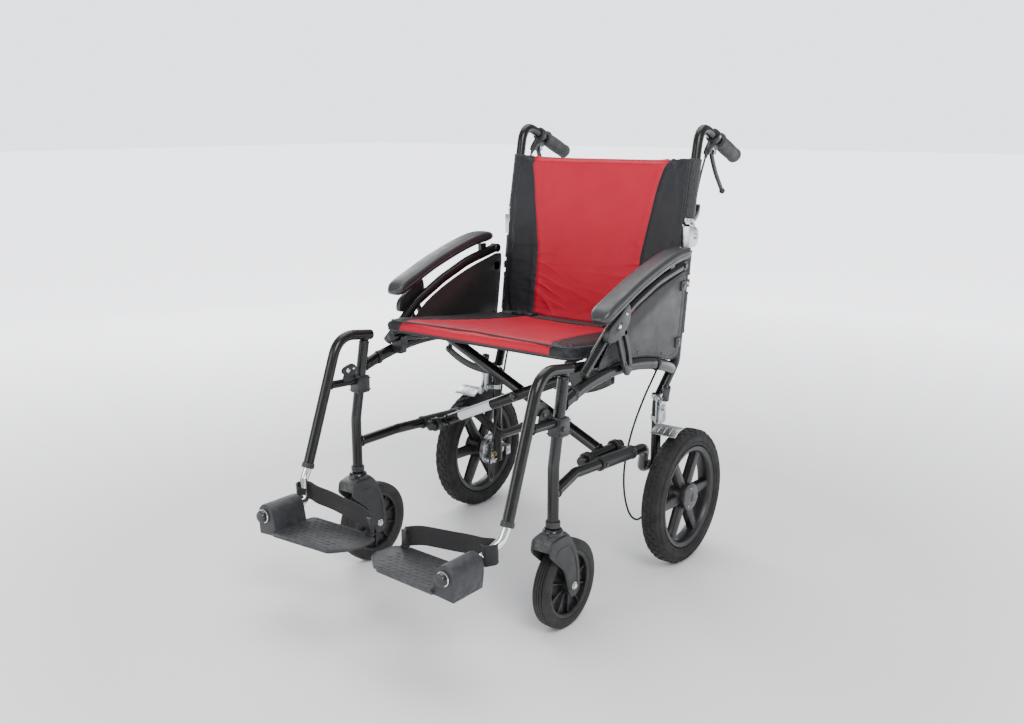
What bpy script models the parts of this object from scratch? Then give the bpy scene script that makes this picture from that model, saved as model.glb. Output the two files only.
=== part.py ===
"""A folding transit wheelchair: the chair faces -Y, the user's left is +X, and it stands on z = 0.

Every body that moves hangs from an empty on its joint's axis. Folding turns the two cross braces,
which carry the seat rails, about a pivot on each lower side rail and about the pin where they cross.
"""

import math

import bmesh
import bpy
from mathutils import Matrix, Vector

# Side frames: distances from the middle plane, metres
POST_X = 0.2595
RAIL_X = 0.2555
LOWER_RAIL_X = 0.240
LEVER_X = 0.2015
REAR_POST_X = 0.224
BACK_X = 0.2385
TUBE_R = 0.011
OVAL = (0.0095, 0.013)
POST_Y = -0.2305
REAR_POST_Y = 0.2155
ARCH_TOP, ARCH_Y, ARCH_DROP = 0.478, -0.005, 0.80

# Wheels
REAR_WHEEL_R, REAR_WHEEL_X, REAR_WHEEL_Y, REAR_TYRE_W = 0.1505, 0.2905, 0.2235, 0.046
RIM_R = 0.112
CASTOR_R, CASTOR_W, CASTOR_TRAIL = 0.0885, 0.0346, 0.040
AXLE_R = 0.006

# Cross brace: the lower pivots, the crossing pin and the seat rails lie on one line
PIVOT_X, PIVOT_Z = 0.205, 0.285
SEAT_RAIL_X, SEAT_RAIL_Z, SEAT_RAIL_R = 0.2345, 0.487, 0.0095
SEAT_TILT = -0.106
SEAT_RAIL_Y = (-0.1415, 0.1950)
SEAT_CLEAR, SEAT_THICK = 0.0035, 0.0265
BRACE_R = 0.012
BRACE_SLOPE = (SEAT_RAIL_Z - PIVOT_Z) / (PIVOT_X + SEAT_RAIL_X)
CROSS_Z = PIVOT_Z + BRACE_SLOPE * PIVOT_X
BRACE_Y = {"a": 0.0, "b": 0.0250}
SLEEVE = (-0.055, 0.094)
LINK_TOP = (0.228, 0.4445)
LINK_Y = {"left": 0.0127, "right": 0.0377}
LINK_END_X = 0.0773

# Back, armrests, footrests
HINGE_Y, HINGE_Z = 0.313, 0.712
ARM_PIVOT = (0.2555, 0.247, 0.6565)
HANGER_TOP = (-0.2335, 0.513)
FOOT_AXIS_X, FOOT_AXIS_Z = 0.2315, 0.208
PLATE_TOP, PLATE_T, TIP_T = 0.181, 0.011, 0.004
BRAKE_LEVER = (0.237, 0.401, 0.889)
PARK_PIVOT = (0.248, 0.197, 0.350)

GAP = 0.0004

COLOURS = {
    "frame_paint": ((0.030, 0.031, 0.027), 0.38, 0.35),
    "black_plastic": ((0.026, 0.027, 0.029), 0.55, 0.0),
    "plate_plastic": ((0.045, 0.048, 0.052), 0.60, 0.0),
    "panel_plastic": ((0.060, 0.061, 0.060), 0.62, 0.0),
    "pad_foam": ((0.040, 0.042, 0.045), 0.42, 0.0),
    "zinc": ((0.62, 0.65, 0.68), 0.32, 1.0),
    "polished_tube": ((0.80, 0.80, 0.80), 0.16, 1.0),
    "tyre_rubber": ((0.050, 0.050, 0.050), 0.82, 0.0),
    "castor_rubber": ((0.060, 0.060, 0.058), 0.75, 0.0),
    "hub_plastic": ((0.020, 0.020, 0.021), 0.40, 0.0),
    "grip_rubber": ((0.085, 0.087, 0.090), 0.70, 0.0),
    "red_nylon": ((0.56, 0.022, 0.060), 0.62, 0.0),
    "black_webbing": ((0.018, 0.018, 0.020), 0.80, 0.0),
    "cable_sheath": ((0.015, 0.015, 0.016), 0.45, 0.0),
}

parts = None
cutters = None
materials = {}
empties = {}


def start_scene():
    global parts, cutters
    for obj in list(bpy.data.objects):
        bpy.data.objects.remove(obj)
    parts = bpy.data.collections.new("wheelchair")
    cutters = bpy.data.collections.new("cutters")
    for group in (parts, cutters):
        bpy.context.scene.collection.children.link(group)
    for name, (colour, roughness, metallic) in COLOURS.items():
        made = bpy.data.materials.new(name)
        made.use_nodes = True
        shader = made.node_tree.nodes["Principled BSDF"]
        shader.inputs["Base Color"].default_value = (*colour, 1)
        shader.inputs["Roughness"].default_value = roughness
        shader.inputs["Metallic"].default_value = metallic
        materials[name] = made


def body(name, pivot, parent=None):
    """An empty on the joint's axis, which the body's pieces and its child bodies hang from."""
    empty = bpy.data.objects.new("body_" + name, None)
    parts.objects.link(empty)
    empty["pivot"] = pivot
    empty.location = pivot
    if parent:
        empty.parent = empties[parent]
        empty.location = Vector(pivot) - Vector(empties[parent]["pivot"])
    empties[name] = empty


# ---- shapes, all made where they stand ----


def rounded(points, bend, steps=4):
    """The polyline with each inner corner turned into an arc of that bend radius."""
    points = [Vector(p) for p in points]
    bends = bend if isinstance(bend, (list, tuple)) else [bend] * (len(points) - 2)
    path = [points[0]]
    for before, corner, after, radius in zip(points, points[1:], points[2:], bends):
        arrive = (corner - before).normalized()
        leave = (after - corner).normalized()
        turn = arrive.angle(leave)
        if turn < 0.02 or radius == 0:
            path.append(corner)
            continue
        reach = min(
            radius * math.tan(turn / 2),
            0.48 * (corner - before).length,
            0.48 * (after - corner).length,
        )
        first, last = corner - arrive * reach, corner + leave * reach
        for i in range(steps + 1):
            t = i / steps
            path.append(first * (1 - t) ** 2 + corner * (2 * t * (1 - t)) + last * t**2)
    path.append(points[-1])
    return path


def curve_object(name, path, radius, sides, cyclic=False):
    data = bpy.data.curves.new(name, "CURVE")
    data.dimensions = "3D"
    data.twist_mode = "Z_UP"
    spline = data.splines.new("POLY")
    spline.points.add(len(path) - 1)
    for point, place in zip(spline.points, path):
        point.co = (*place, 1)
    spline.use_cyclic_u = cyclic
    spline.use_smooth = True
    data.bevel_depth = radius
    data.bevel_resolution = (sides - 4) // 2
    data.use_fill_caps = not cyclic
    obj = bpy.data.objects.new(name, data)
    parts.objects.link(obj)
    return obj


def ellipse_guide(half_width, half_height, sides):
    turn = 2 * math.pi / sides
    ring = [
        (half_width * math.cos(i * turn), half_height * math.sin(i * turn), 0)
        for i in range(sides)
    ]
    data = bpy.data.curves.new("oval", "CURVE")
    data.dimensions = "2D"
    spline = data.splines.new("POLY")
    spline.points.add(sides - 1)
    for point, place in zip(spline.points, ring):
        point.co = (*place, 1)
    spline.use_cyclic_u = True
    guide = bpy.data.objects.new("oval", data)
    return hidden(guide)


def hidden(obj):
    for group in list(obj.users_collection):
        group.objects.unlink(obj)
    cutters.objects.link(obj)
    obj.hide_render = True
    obj.display_type = "WIRE"
    return obj


def tube(name, points, radius=TUBE_R, bend=0.04, sides=12, steps=4):
    return curve_object(name, rounded(points, bend, steps), radius, sides)


def oval_tube(name, path, half_width, half_height, sides=12):
    obj = curve_object(name, path, 0, 8)
    obj.data.bevel_mode = "OBJECT"
    obj.data.bevel_object = ellipse_guide(half_width, half_height, sides)
    return as_mesh(obj)


def mesh_object(name, mesh):
    data = bpy.data.meshes.new(name)
    mesh.to_mesh(data)
    mesh.free()
    obj = bpy.data.objects.new(name, data)
    parts.objects.link(obj)
    return obj


def as_mesh(obj):
    """A curve made a mesh with its caps welded on, so that it can be cut or joined."""
    if obj.type == "MESH":
        return obj
    bpy.context.view_layer.update()
    graph = bpy.context.evaluated_depsgraph_get()
    data = bpy.data.meshes.new_from_object(obj.evaluated_get(graph))
    mesh = bmesh.new()
    mesh.from_mesh(data)
    bmesh.ops.remove_doubles(mesh, verts=mesh.verts, dist=1e-6)
    bmesh.ops.recalc_face_normals(mesh, faces=mesh.faces)
    mesh.to_mesh(data)
    mesh.free()
    made = bpy.data.objects.new(obj.name, data)
    parts.objects.link(made)
    made.matrix_world = obj.matrix_world
    name = obj.name
    bpy.data.objects.remove(obj)
    made.name = name
    return made


def box(name, low, high, bevel=0.0):
    low, high = Vector(low), Vector(high)
    mesh = bmesh.new()
    bmesh.ops.create_cube(mesh, size=1)
    for vert in mesh.verts:
        vert.co = Vector(
            (low[i] + high[i]) / 2 + vert.co[i] * abs(high[i] - low[i]) for i in range(3)
        )
    if bevel:
        bmesh.ops.bevel(
            mesh, geom=mesh.edges, offset=bevel, segments=1, affect="EDGES", profile=0.5
        )
    return mesh_object(name, mesh)


def rod(name, start, end, radius, sides=12, end_radius=None):
    """A cylinder, or a cone when end_radius differs, from start to end."""
    start, end = Vector(start), Vector(end)
    mesh = bmesh.new()
    bmesh.ops.create_cone(
        mesh,
        cap_ends=True,
        segments=sides,
        radius1=radius,
        radius2=radius if end_radius is None else end_radius,
        depth=(end - start).length,
    )
    turn = (end - start).to_track_quat("Z", "Y").to_matrix().to_4x4()
    mesh.transform(Matrix.Translation((start + end) / 2) @ turn)
    return mesh_object(name, mesh)


def plate(name, outline, x_low, x_high):
    """A flat piece in the YZ plane: its outline, given as (y, z), from x_low to x_high."""
    return slab(name, [(x_low, y, z) for y, z in outline], (x_high - x_low, 0, 0))


def slab(name, ring, thickness):
    """A closed ring of points filled and carried along the thickness vector."""
    mesh = bmesh.new()
    face = mesh.faces.new([mesh.verts.new(p) for p in ring])
    moved = bmesh.ops.extrude_face_region(mesh, geom=[face])["geom"]
    bmesh.ops.translate(
        mesh, vec=Vector(thickness), verts=[g for g in moved if isinstance(g, bmesh.types.BMVert)]
    )
    bmesh.ops.recalc_face_normals(mesh, faces=mesh.faces)
    return mesh_object(name, mesh)


def turned(name, profile, centre, axis="X", steps=24, cyclic=True):
    """A profile of (radius, height), which runs down its outer side, spun about the axis."""
    mesh = bmesh.new()
    verts = [mesh.verts.new((r, 0, h)) for r, h in profile]
    for a, b in zip(verts, verts[1:] + (verts[:1] if cyclic else [])):
        mesh.edges.new((a, b))
    obj = mesh_object(name, mesh)
    spin = obj.modifiers.new("spin", "SCREW")
    spin.steps = steps
    spin.render_steps = steps
    spin.use_merge_vertices = True
    spin.merge_threshold = 0.00005
    obj.location = centre
    if axis == "X":
        obj.rotation_euler = (0, math.pi / 2, 0)
    return obj


def unite(base, *others):
    base = as_mesh(base)
    for other in others:
        join = base.modifiers.new("join", "BOOLEAN")
        join.operation = "UNION"
        join.object = hidden(as_mesh(other))
    return base


def cut(base, *others):
    base = as_mesh(base)
    for other in others:
        away = base.modifiers.new("cut", "BOOLEAN")
        away.operation = "DIFFERENCE"
        away.object = hidden(as_mesh(other))
    return base


def keep(obj, name, owner, material):
    """Names the finished piece, gives it its material and hangs it from its body's empty."""
    obj.name = name
    obj.data.name = name
    obj.data.materials.clear()
    obj.data.materials.append(materials[material])
    obj.parent = empties[owner]
    obj.location = obj.location - Vector(empties[owner]["pivot"])
    return obj


def at(sign, x, y, z):
    return (sign * x, y, z)


def span(sign, low, high):
    """Two distances from the middle plane as x values, lower first."""
    return sorted((sign * low, sign * high))


# ---- paths that several pieces share ----


def arch_z(y):
    return ARCH_TOP - ARCH_DROP * (y - ARCH_Y) ** 2


def seat_z(y, above=0.0):
    """Height of the seat rails' centre line, or of a line that far above it."""
    return SEAT_RAIL_Z + SEAT_TILT * y + above


def seat_rail_rod(name, sign, low_y, high_y, radius):
    low = at(sign, SEAT_RAIL_X, low_y, seat_z(low_y))
    return rod(name, low, at(sign, SEAT_RAIL_X, high_y, seat_z(high_y)), radius, 16)


def post_path(sign):
    return [
        at(sign, POST_X, POST_Y, 0.2165),
        at(sign, POST_X, POST_Y, 0.335),
        at(sign, POST_X - 0.001, -0.1995, 0.500),
    ]


def rear_post_path(sign):
    return [
        at(sign, REAR_POST_X, REAR_POST_Y, 0.130),
        at(sign, REAR_POST_X, REAR_POST_Y, 0.360),
        at(sign, BACK_X, 0.2640, 0.440),
        at(sign, BACK_X, 0.2965, 0.699),
    ]


def lower_rail_path(sign):
    return [
        at(sign, POST_X, POST_Y, 0.2815),
        at(sign, LOWER_RAIL_X, -0.130, 0.2905),
        at(sign, LOWER_RAIL_X, 0.140, 0.2735),
        at(sign, LEVER_X, 0.196, 0.203),
        at(sign, LEVER_X, 0.300, 0.199),
    ]


def hanger_path(sign):
    return [
        at(sign, POST_X - 0.001, -0.181, 0.5115),
        at(sign, POST_X - 0.001, -0.2735, 0.5245),
        at(sign, POST_X, -0.3710, 0.2640),
    ]


def handle_path(sign):
    return [
        at(sign, 0.237, 0.2995, 0.7385),
        at(sign, 0.237, 0.3396, 0.9514),
        at(sign, 0.237, 0.4265, 0.9155),
    ]


def armrest_path(sign):
    x = RAIL_X
    return rounded(
        [
            at(sign, x, -0.1320, 0.4894),
            at(sign, x, -0.0350, 0.5640),
            at(sign, x, 0.0500, 0.6035),
            at(sign, x, 0.1400, 0.6355),
            at(sign, x, 0.2470, 0.6565),
        ],
        [0.10, 0.25, 0.35],
        3,
    )


def make_bodies():
    body("side_right", (0, 0, 0))
    body("brace_a", (-PIVOT_X, 0, PIVOT_Z), "side_right")
    body("brace_b", (0, 0, CROSS_Z), "brace_a")
    body("side_left", (PIVOT_X, 0, PIVOT_Z), "brace_b")
    for side, sign in SIDES:
        frame = "side_" + side
        body("castor_fork_" + side, at(sign, POST_X, POST_Y, 0.2), frame)
        body(
            "castor_wheel_" + side,
            at(sign, POST_X, POST_Y + CASTOR_TRAIL, CASTOR_R),
            "castor_fork_" + side,
        )
        body("rear_wheel_" + side, at(sign, REAR_WHEEL_X, REAR_WHEEL_Y, REAR_WHEEL_R), frame)
        body("back_" + side, at(sign, BACK_X, HINGE_Y, HINGE_Z), frame)
        body("brake_lever_" + side, at(sign, *BRAKE_LEVER), "back_" + side)
        body("armrest_" + side, at(sign, *ARM_PIVOT), frame)
        body("parking_brake_" + side, at(sign, *PARK_PIVOT), frame)
        body("fold_link_" + side, at(sign, LINK_TOP[0], 0, LINK_TOP[1]), frame)
        body("hanger_" + side, at(sign, POST_X, -0.205, 0.470), frame)
        body("hanger_catch_" + side, at(sign, 0.250, -0.262, 0.452), "hanger_" + side)
        body("footrest_" + side, at(sign, POST_X, -0.371, 0.264), "hanger_" + side)
        body(
            "footplate_pivot_" + side,
            at(sign, FOOT_AXIS_X, -0.46, FOOT_AXIS_Z),
            "footrest_" + side,
        )
        body(
            "footplate_" + side,
            at(sign, FOOT_AXIS_X, -0.46, FOOT_AXIS_Z),
            "footplate_pivot_" + side,
        )


SIDES = (("left", 1), ("right", -1))


# ---- side frame ----


def make_side_frame(side, sign):
    frame = "side_" + side
    post = tube("front_post", post_path(sign), TUBE_R, 0.10)
    keep(post, "front_post_" + side, frame, "frame_paint")

    rear = tube("rear_post", rear_post_path(sign), TUBE_R, [0.05, 0.05])
    lug_x = (BACK_X - 0.0130, BACK_X + 0.0100)
    lugs = []
    for inner in lug_x:
        low, high = span(sign, inner, inner + 0.003)
        shape = [
            (0.2860, 0.690),
            (0.3130, 0.690),
            (0.3250, 0.699),
            (0.3260, 0.712),
            (0.3240, 0.724),
            (0.3130, 0.733),
            (0.2860, 0.736),
        ]
        lugs.append(plate("lug", shape, low, high))
    web_low, web_high = span(sign, lug_x[0], lug_x[1] + 0.003)
    lugs.append(box("web", (web_low, 0.2835, 0.690), (web_high, 0.2865, 0.736)))
    lugs.append(
        rod(
            "pin",
            at(sign, lug_x[0] - 0.003, HINGE_Y, HINGE_Z),
            at(sign, lug_x[1] + 0.006, HINGE_Y, HINGE_Z),
            0.0038,
            8,
        )
    )
    keep(unite(rear, *lugs), "rear_post_" + side, frame, "frame_paint")

    ys = [-0.2030 + 0.0295 * i for i in range(12)]
    path = [at(sign, RAIL_X + 0.003 * max(0, -y - 0.13) / 0.1, y, arch_z(y)) for y in ys]
    path += [at(sign, 0.2515, 0.1820, arch_z(0.182)), at(sign, 0.2440, 0.2310, arch_z(0.231))]
    path.append(at(sign, 0.2365, 0.2540, arch_z(0.254)))
    rail = oval_tube("seat_side_rail", path, *OVAL)
    start = LINK_Y[side] + 0.0045
    adds = []
    for y in (-0.125, start):
        low, high = span(sign, 0.2200, 0.2520)
        adds.append(box("cradle_foot", (low, y, 0.4630), (high, y + 0.020, 0.4780)))
        low, high = span(sign, 0.2200, 0.2450)
        adds.append(box("cradle", (low, y, 0.4700), (high, y + 0.020, seat_z(y + 0.02))))
    low, high = span(sign, 0.2230, 0.2330)
    adds.append(box("tab", (low, start + 0.0010, 0.4380), (high, start + 0.0050, 0.4700)))
    adds.append(
        rod(
            "tab_pin",
            at(sign, LINK_TOP[0], start - 0.0052, LINK_TOP[1]),
            at(sign, LINK_TOP[0], start + 0.0060, LINK_TOP[1]),
            0.0036,
            8,
        )
    )
    rail = unite(rail, *adds)
    trough = seat_rail_rod("trough", sign, -0.20, 0.20, SEAT_RAIL_R + 0.0006)
    rail = cut(
        rail,
        trough,
        tube("post_gap", post_path(sign), TUBE_R + GAP, 0.10),
        tube("rear_gap", rear_post_path(sign), TUBE_R + GAP, [0.05, 0.05]),
    )
    keep(rail, "seat_side_rail_" + side, frame, "frame_paint")

    lower = tube("lower_rail", lower_rail_path(sign), TUBE_R, [0.03, 0.05, 0.035], 12, 3)
    fittings = [
        rod("end_cap", at(sign, LEVER_X, 0.286, 0.1995), at(sign, LEVER_X, 0.306, 0.1988), 0.0128)
    ]
    fittings.append(
        rod(
            "collar",
            at(sign, LOWER_RAIL_X, -0.045, 0.2851),
            at(sign, LOWER_RAIL_X, 0.085, 0.2770),
            0.0138,
        )
    )
    for y in (-0.035, 0.072):
        low, high = span(sign, PIVOT_X + 0.0125, LOWER_RAIL_X)
        fittings.append(box("bridge", (low, y - 0.006, 0.2770), (high, y + 0.006, 0.2910)))
        fittings.append(
            rod("ring", at(sign, PIVOT_X, y - 0.006, PIVOT_Z), at(sign, PIVOT_X, y + 0.006, PIVOT_Z), 0.0150, 16)
        )
    lower = unite(lower, *fittings)
    lower = cut(
        lower,
        rod("bore", at(sign, PIVOT_X, -0.08, PIVOT_Z), at(sign, PIVOT_X, 0.12, PIVOT_Z), TUBE_R + 0.0005, 16),
        tube("post_gap", post_path(sign), TUBE_R + GAP, 0.10),
    )
    keep(lower, "lower_rail_" + side, frame, "frame_paint")


def make_side_panel(side, sign):
    bottom = [(y, arch_z(y) + OVAL[1] + 0.0012) for y in (-0.080, -0.02, 0.05, 0.11, 0.16, 0.205)]
    rear = [(0.240, 0.4600), (0.2535, 0.4850), (0.2720, 0.6220)]
    top = [(0.262, 0.6420), (0.225, 0.6360), (0.140, 0.6150), (0.050, 0.5830), (-0.020, 0.5460)]
    low, high = span(sign, RAIL_X - 0.0017, RAIL_X + 0.0017)
    panel = plate("side_panel", bottom + rear + top, low, high)
    clips = []
    for y, z in ((0.2600, 0.6120), (0.2430, 0.4900)):
        low, high = span(sign, RAIL_X - 0.0015, RAIL_X + 0.0045)
        clips.append(box("clip", (low, y - 0.016, z - 0.011), (high, y + 0.020, z + 0.011)))
    panel = unite(panel, *clips)
    panel = cut(panel, tube("gap", rear_post_path(sign), TUBE_R + GAP, [0.05, 0.05]))
    keep(panel, "side_panel_" + side, "side_" + side, "panel_plastic")


def make_hub_brake(side, sign):
    drum = turned(
        "hub_brake",
        [(0.0, 0.0085), (0.034, 0.0085), (0.0385, 0.006), (0.0385, -0.0095), (0.0, -0.0095)],
        at(sign, 0.2525, REAR_WHEEL_Y, REAR_WHEEL_R),
        steps=16,
        cyclic=False,
    )
    axle = rod(
        "axle",
        at(sign, 0.238, REAR_WHEEL_Y, REAR_WHEEL_R),
        at(sign, 0.3195, REAR_WHEEL_Y, REAR_WHEEL_R),
        AXLE_R,
    )
    low, high = span(sign, 0.2362, 0.2440)
    backing = box("backing", (low, 0.176, 0.131), (high, 0.262, 0.170))
    low, high = span(sign, 0.2060, 0.2440)
    bolts = [
        box("ear", (low, 0.1820, 0.1330), (high, 0.1990, 0.1450)),
        box("ear", (low, 0.2320, 0.1330), (high, 0.2500, 0.1680)),
    ]
    keep(unite(drum, axle, backing, *bolts), "hub_brake_" + side, "side_" + side, "zinc")


# ---- wheels ----


def make_rear_wheel(side, sign):
    centre = Vector(at(sign, REAR_WHEEL_X, REAR_WHEEL_Y, REAR_WHEEL_R))
    rim = turned(
        "rim",
        [
            (0.1035, 0.0165),
            (RIM_R, 0.0185),
            (RIM_R + 0.003, 0.014),
            (RIM_R - 0.004, 0.0),
            (RIM_R + 0.003, -0.014),
            (RIM_R, -0.0185),
            (0.1035, -0.0165),
        ],
        centre,
        steps=36,
    )
    hub = turned(
        "hub",
        [
            (AXLE_R + 0.0006, 0.0215),
            (0.022, 0.0215),
            (0.027, 0.017),
            (0.027, -0.021),
            (AXLE_R + 0.0006, -0.021),
        ],
        centre,
        steps=20,
    )
    spokes = []
    for i in range(6):
        angle = math.pi / 6 + i * math.pi / 3
        low, high = span(1, -0.010, 0.010)
        spoke = box("spoke", (low, -0.0075, 0.022), (high, 0.0075, 0.106), 0.002)
        spoke.matrix_world = Matrix.Translation(centre) @ Matrix.Rotation(angle, 4, "X")
        spokes.append(spoke)
    keep(unite(rim, hub, *spokes), "rear_wheel_" + side, "rear_wheel_" + side, "hub_plastic")

    half = REAR_TYRE_W / 2
    middle = (REAR_WHEEL_R + RIM_R) / 2 + 0.002
    tall = REAR_WHEEL_R - middle
    ring = [(REAR_WHEEL_R - 0.0010, 0.0105), (REAR_WHEEL_R, 0.0), (REAR_WHEEL_R - 0.0010, -0.0105)]
    ring = [(middle + tall * 0.62, half * 0.86)] + ring + [(middle + tall * 0.62, -half * 0.86)]
    ring += [(middle, -half), (RIM_R + 0.006, -half * 0.86), (RIM_R + 0.0045, -0.0147)]
    ring += [(RIM_R - 0.0025, 0.0), (RIM_R + 0.0045, 0.0147)]
    ring += [(RIM_R + 0.006, half * 0.86), (middle, half)]
    tyre = turned("tyre", ring, centre, steps=36)
    keep(tyre, "rear_tyre_" + side, "rear_wheel_" + side, "tyre_rubber")


def make_castor(side, sign):
    x, y = sign * POST_X, POST_Y + CASTOR_TRAIL
    half = CASTOR_W / 2
    profile = [
        (CASTOR_R - 0.008, half * 0.90),
        (CASTOR_R - 0.0015, half * 0.50),
        (CASTOR_R, 0.0),
        (CASTOR_R - 0.0015, -half * 0.50),
        (CASTOR_R - 0.008, -half * 0.90),
        (CASTOR_R - 0.016, -half),
        (0.062, -half * 0.92),
        (0.058, -half * 0.45),
        (0.022, -half * 0.45),
        (0.018, -half * 1.05),
        (0.0046, -half * 1.05),
        (0.0046, half * 1.05),
        (0.018, half * 1.05),
        (0.022, half * 0.45),
        (0.058, half * 0.45),
        (0.062, half * 0.92),
        (CASTOR_R - 0.016, half),
    ]
    wheel = turned("wheel", profile, (x, y, CASTOR_R), steps=32)
    keep(wheel, "castor_wheel_" + side, "castor_wheel_" + side, "castor_rubber")

    crown = turned(
        "crown",
        [(0.0, 0.2145), (0.0155, 0.2145), (0.0200, 0.2100), (0.0205, 0.2040), (0.0, 0.2040)],
        (x, POST_Y, 0),
        axis="Z",
        steps=16,
        cyclic=False,
    )
    shell = [
        (POST_Y - 0.038, 0.1790),
        (POST_Y - 0.034, 0.2020),
        (POST_Y - 0.018, 0.2060),
        (POST_Y + 0.018, 0.2060),
        (POST_Y + 0.030, 0.1950),
        (POST_Y + 0.040, 0.1800),
    ]
    bridge = plate("bridge", shell, x - 0.0225, x + 0.0225)
    leg = [
        (POST_Y - 0.036, 0.1690),
        (POST_Y - 0.038, 0.1830),
        (POST_Y - 0.030, 0.1970),
        (POST_Y + 0.024, 0.1970),
        (POST_Y + 0.046, 0.1650),
        (POST_Y + 0.058, 0.1200),
        (POST_Y + 0.058, 0.0800),
        (POST_Y + 0.048, 0.0680),
        (POST_Y + 0.032, 0.0700),
        (POST_Y + 0.022, 0.0880),
        (POST_Y + 0.004, 0.1280),
    ]
    legs = [plate("leg", leg, x + s * 0.0215 - 0.0025, x + s * 0.0215 + 0.0025) for s in (1, -1)]
    axle = rod("axle", (x - 0.028, y, CASTOR_R), (x + 0.028, y, CASTOR_R), 0.0040, 8)
    heads = [
        rod("head", (x + s * 0.0235, y, CASTOR_R), (x + s * 0.0275, y, CASTOR_R), 0.0075, 8) for s in (1, -1)
    ]
    keep(unite(bridge, crown, *legs, axle, *heads), "castor_fork_" + side, "castor_fork_" + side, "black_plastic")


# ---- cross brace and seat ----


def make_braces():
    end = SEAT_RAIL_X
    for which, sign in (("a", 1), ("b", -1)):
        y = BRACE_Y[which]
        bar = rod(
            "brace",
            (-sign * (PIVOT_X - 0.004), y, PIVOT_Z + 0.004 * BRACE_SLOPE),
            (sign * (end - 0.006), y, SEAT_RAIL_Z - 0.006 * BRACE_SLOPE),
            BRACE_R,
            12,
        )
        sleeve = rod(
            "sleeve", (-sign * PIVOT_X, SLEEVE[0], PIVOT_Z), (-sign * PIVOT_X, SLEEVE[1], PIVOT_Z), TUBE_R, 16
        )
        rail = seat_rail_rod("seat_rail", sign, *SEAT_RAIL_Y, SEAT_RAIL_R)
        bolt_gap = rod("bolt_gap", (0, y - 0.03, CROSS_Z), (0, y + 0.03, CROSS_Z), 0.0045, 8)
        made = cut(unite(bar, sleeve, rail), bolt_gap)
        keep(made, "brace_" + which, "brace_" + which, "frame_paint")
    front = BRACE_Y["a"] - BRACE_R
    back = BRACE_Y["b"] + BRACE_R
    bolt = rod("bolt", (0, front - 0.002, CROSS_Z), (0, back + 0.002, CROSS_Z), 0.0040, 8)
    heads = [
        rod("head", (0, front - 0.0060, CROSS_Z), (0, front - GAP, CROSS_Z), 0.0080, 12),
        rod("nut", (0, back + GAP, CROSS_Z), (0, back + 0.0060, CROSS_Z), 0.0080, 6),
    ]
    keep(unite(bolt, *heads), "brace_bolt", "brace_a", "zinc")


def make_fold_link(side, sign):
    y = LINK_Y[side]
    end_z = CROSS_Z + BRACE_SLOPE * LINK_END_X
    top, tip = Vector((LINK_TOP[0], LINK_TOP[1])), Vector((LINK_END_X, end_z))
    middle = (top + tip) / 2 + Vector((0.010, -0.030))
    half = 0.0085
    count = 8
    line = [
        top * (1 - t) ** 2 + middle * (2 * t * (1 - t)) + tip * t * t
        for t in (i / count for i in range(count + 1))
    ]
    upper, lower = [], []
    for i, p in enumerate(line):
        ahead, behind = line[min(i + 1, count)], line[max(i - 1, 0)]
        along = (ahead - behind).normalized()
        side_way = Vector((-along.y, along.x))
        upper.append(p + side_way * half)
        lower.append(p - side_way * half)
    along = (line[0] - line[1]).normalized()
    away = (line[-1] - line[-2]).normalized()
    ring = upper + [tip + away * half] + lower[::-1] + [top + along * half]
    arm = slab("arm", [(sign * p.x, y, p.y) for p in ring], (0, 0.004, 0))
    eye = rod("eye", (sign * top.x, y - 0.01, top.y), (sign * top.x, y + 0.01, top.y), 0.0041, 8)
    keep(cut(arm, eye), "fold_link_" + side, "fold_link_" + side, "black_plastic")


def bevelled(obj, width):
    edges = obj.modifiers.new("edges", "BEVEL")
    edges.width = width
    edges.segments = 2
    edges.limit_method = "ANGLE"
    return obj


def on_post(sign, z):
    """The point of the rear post's upper run at height z."""
    low, high = Vector(rear_post_path(sign)[2]), Vector(rear_post_path(sign)[3])
    return low.lerp(high, (z - low.z) / (high.z - low.z))


def on_handle(sign, z):
    low, high = Vector(handle_path(sign)[0]), Vector(handle_path(sign)[1])
    return low.lerp(high, (z - low.z) / (high.z - low.z))


def clip_gaps():
    """Where the back's edge stops short of the posts: the hinges."""
    made = []
    for _, sign in SIDES:
        low, high = span(sign, 0.2230, 0.2600)
        made.append(box("hinge_gap", (low, 0.2400, 0.6860), (high, 0.3400, 0.7480)))
        made.append(box("clip_gap", (low, 0.2400, 0.5960), (high, 0.3400, 0.6280)))
    return made


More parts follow.
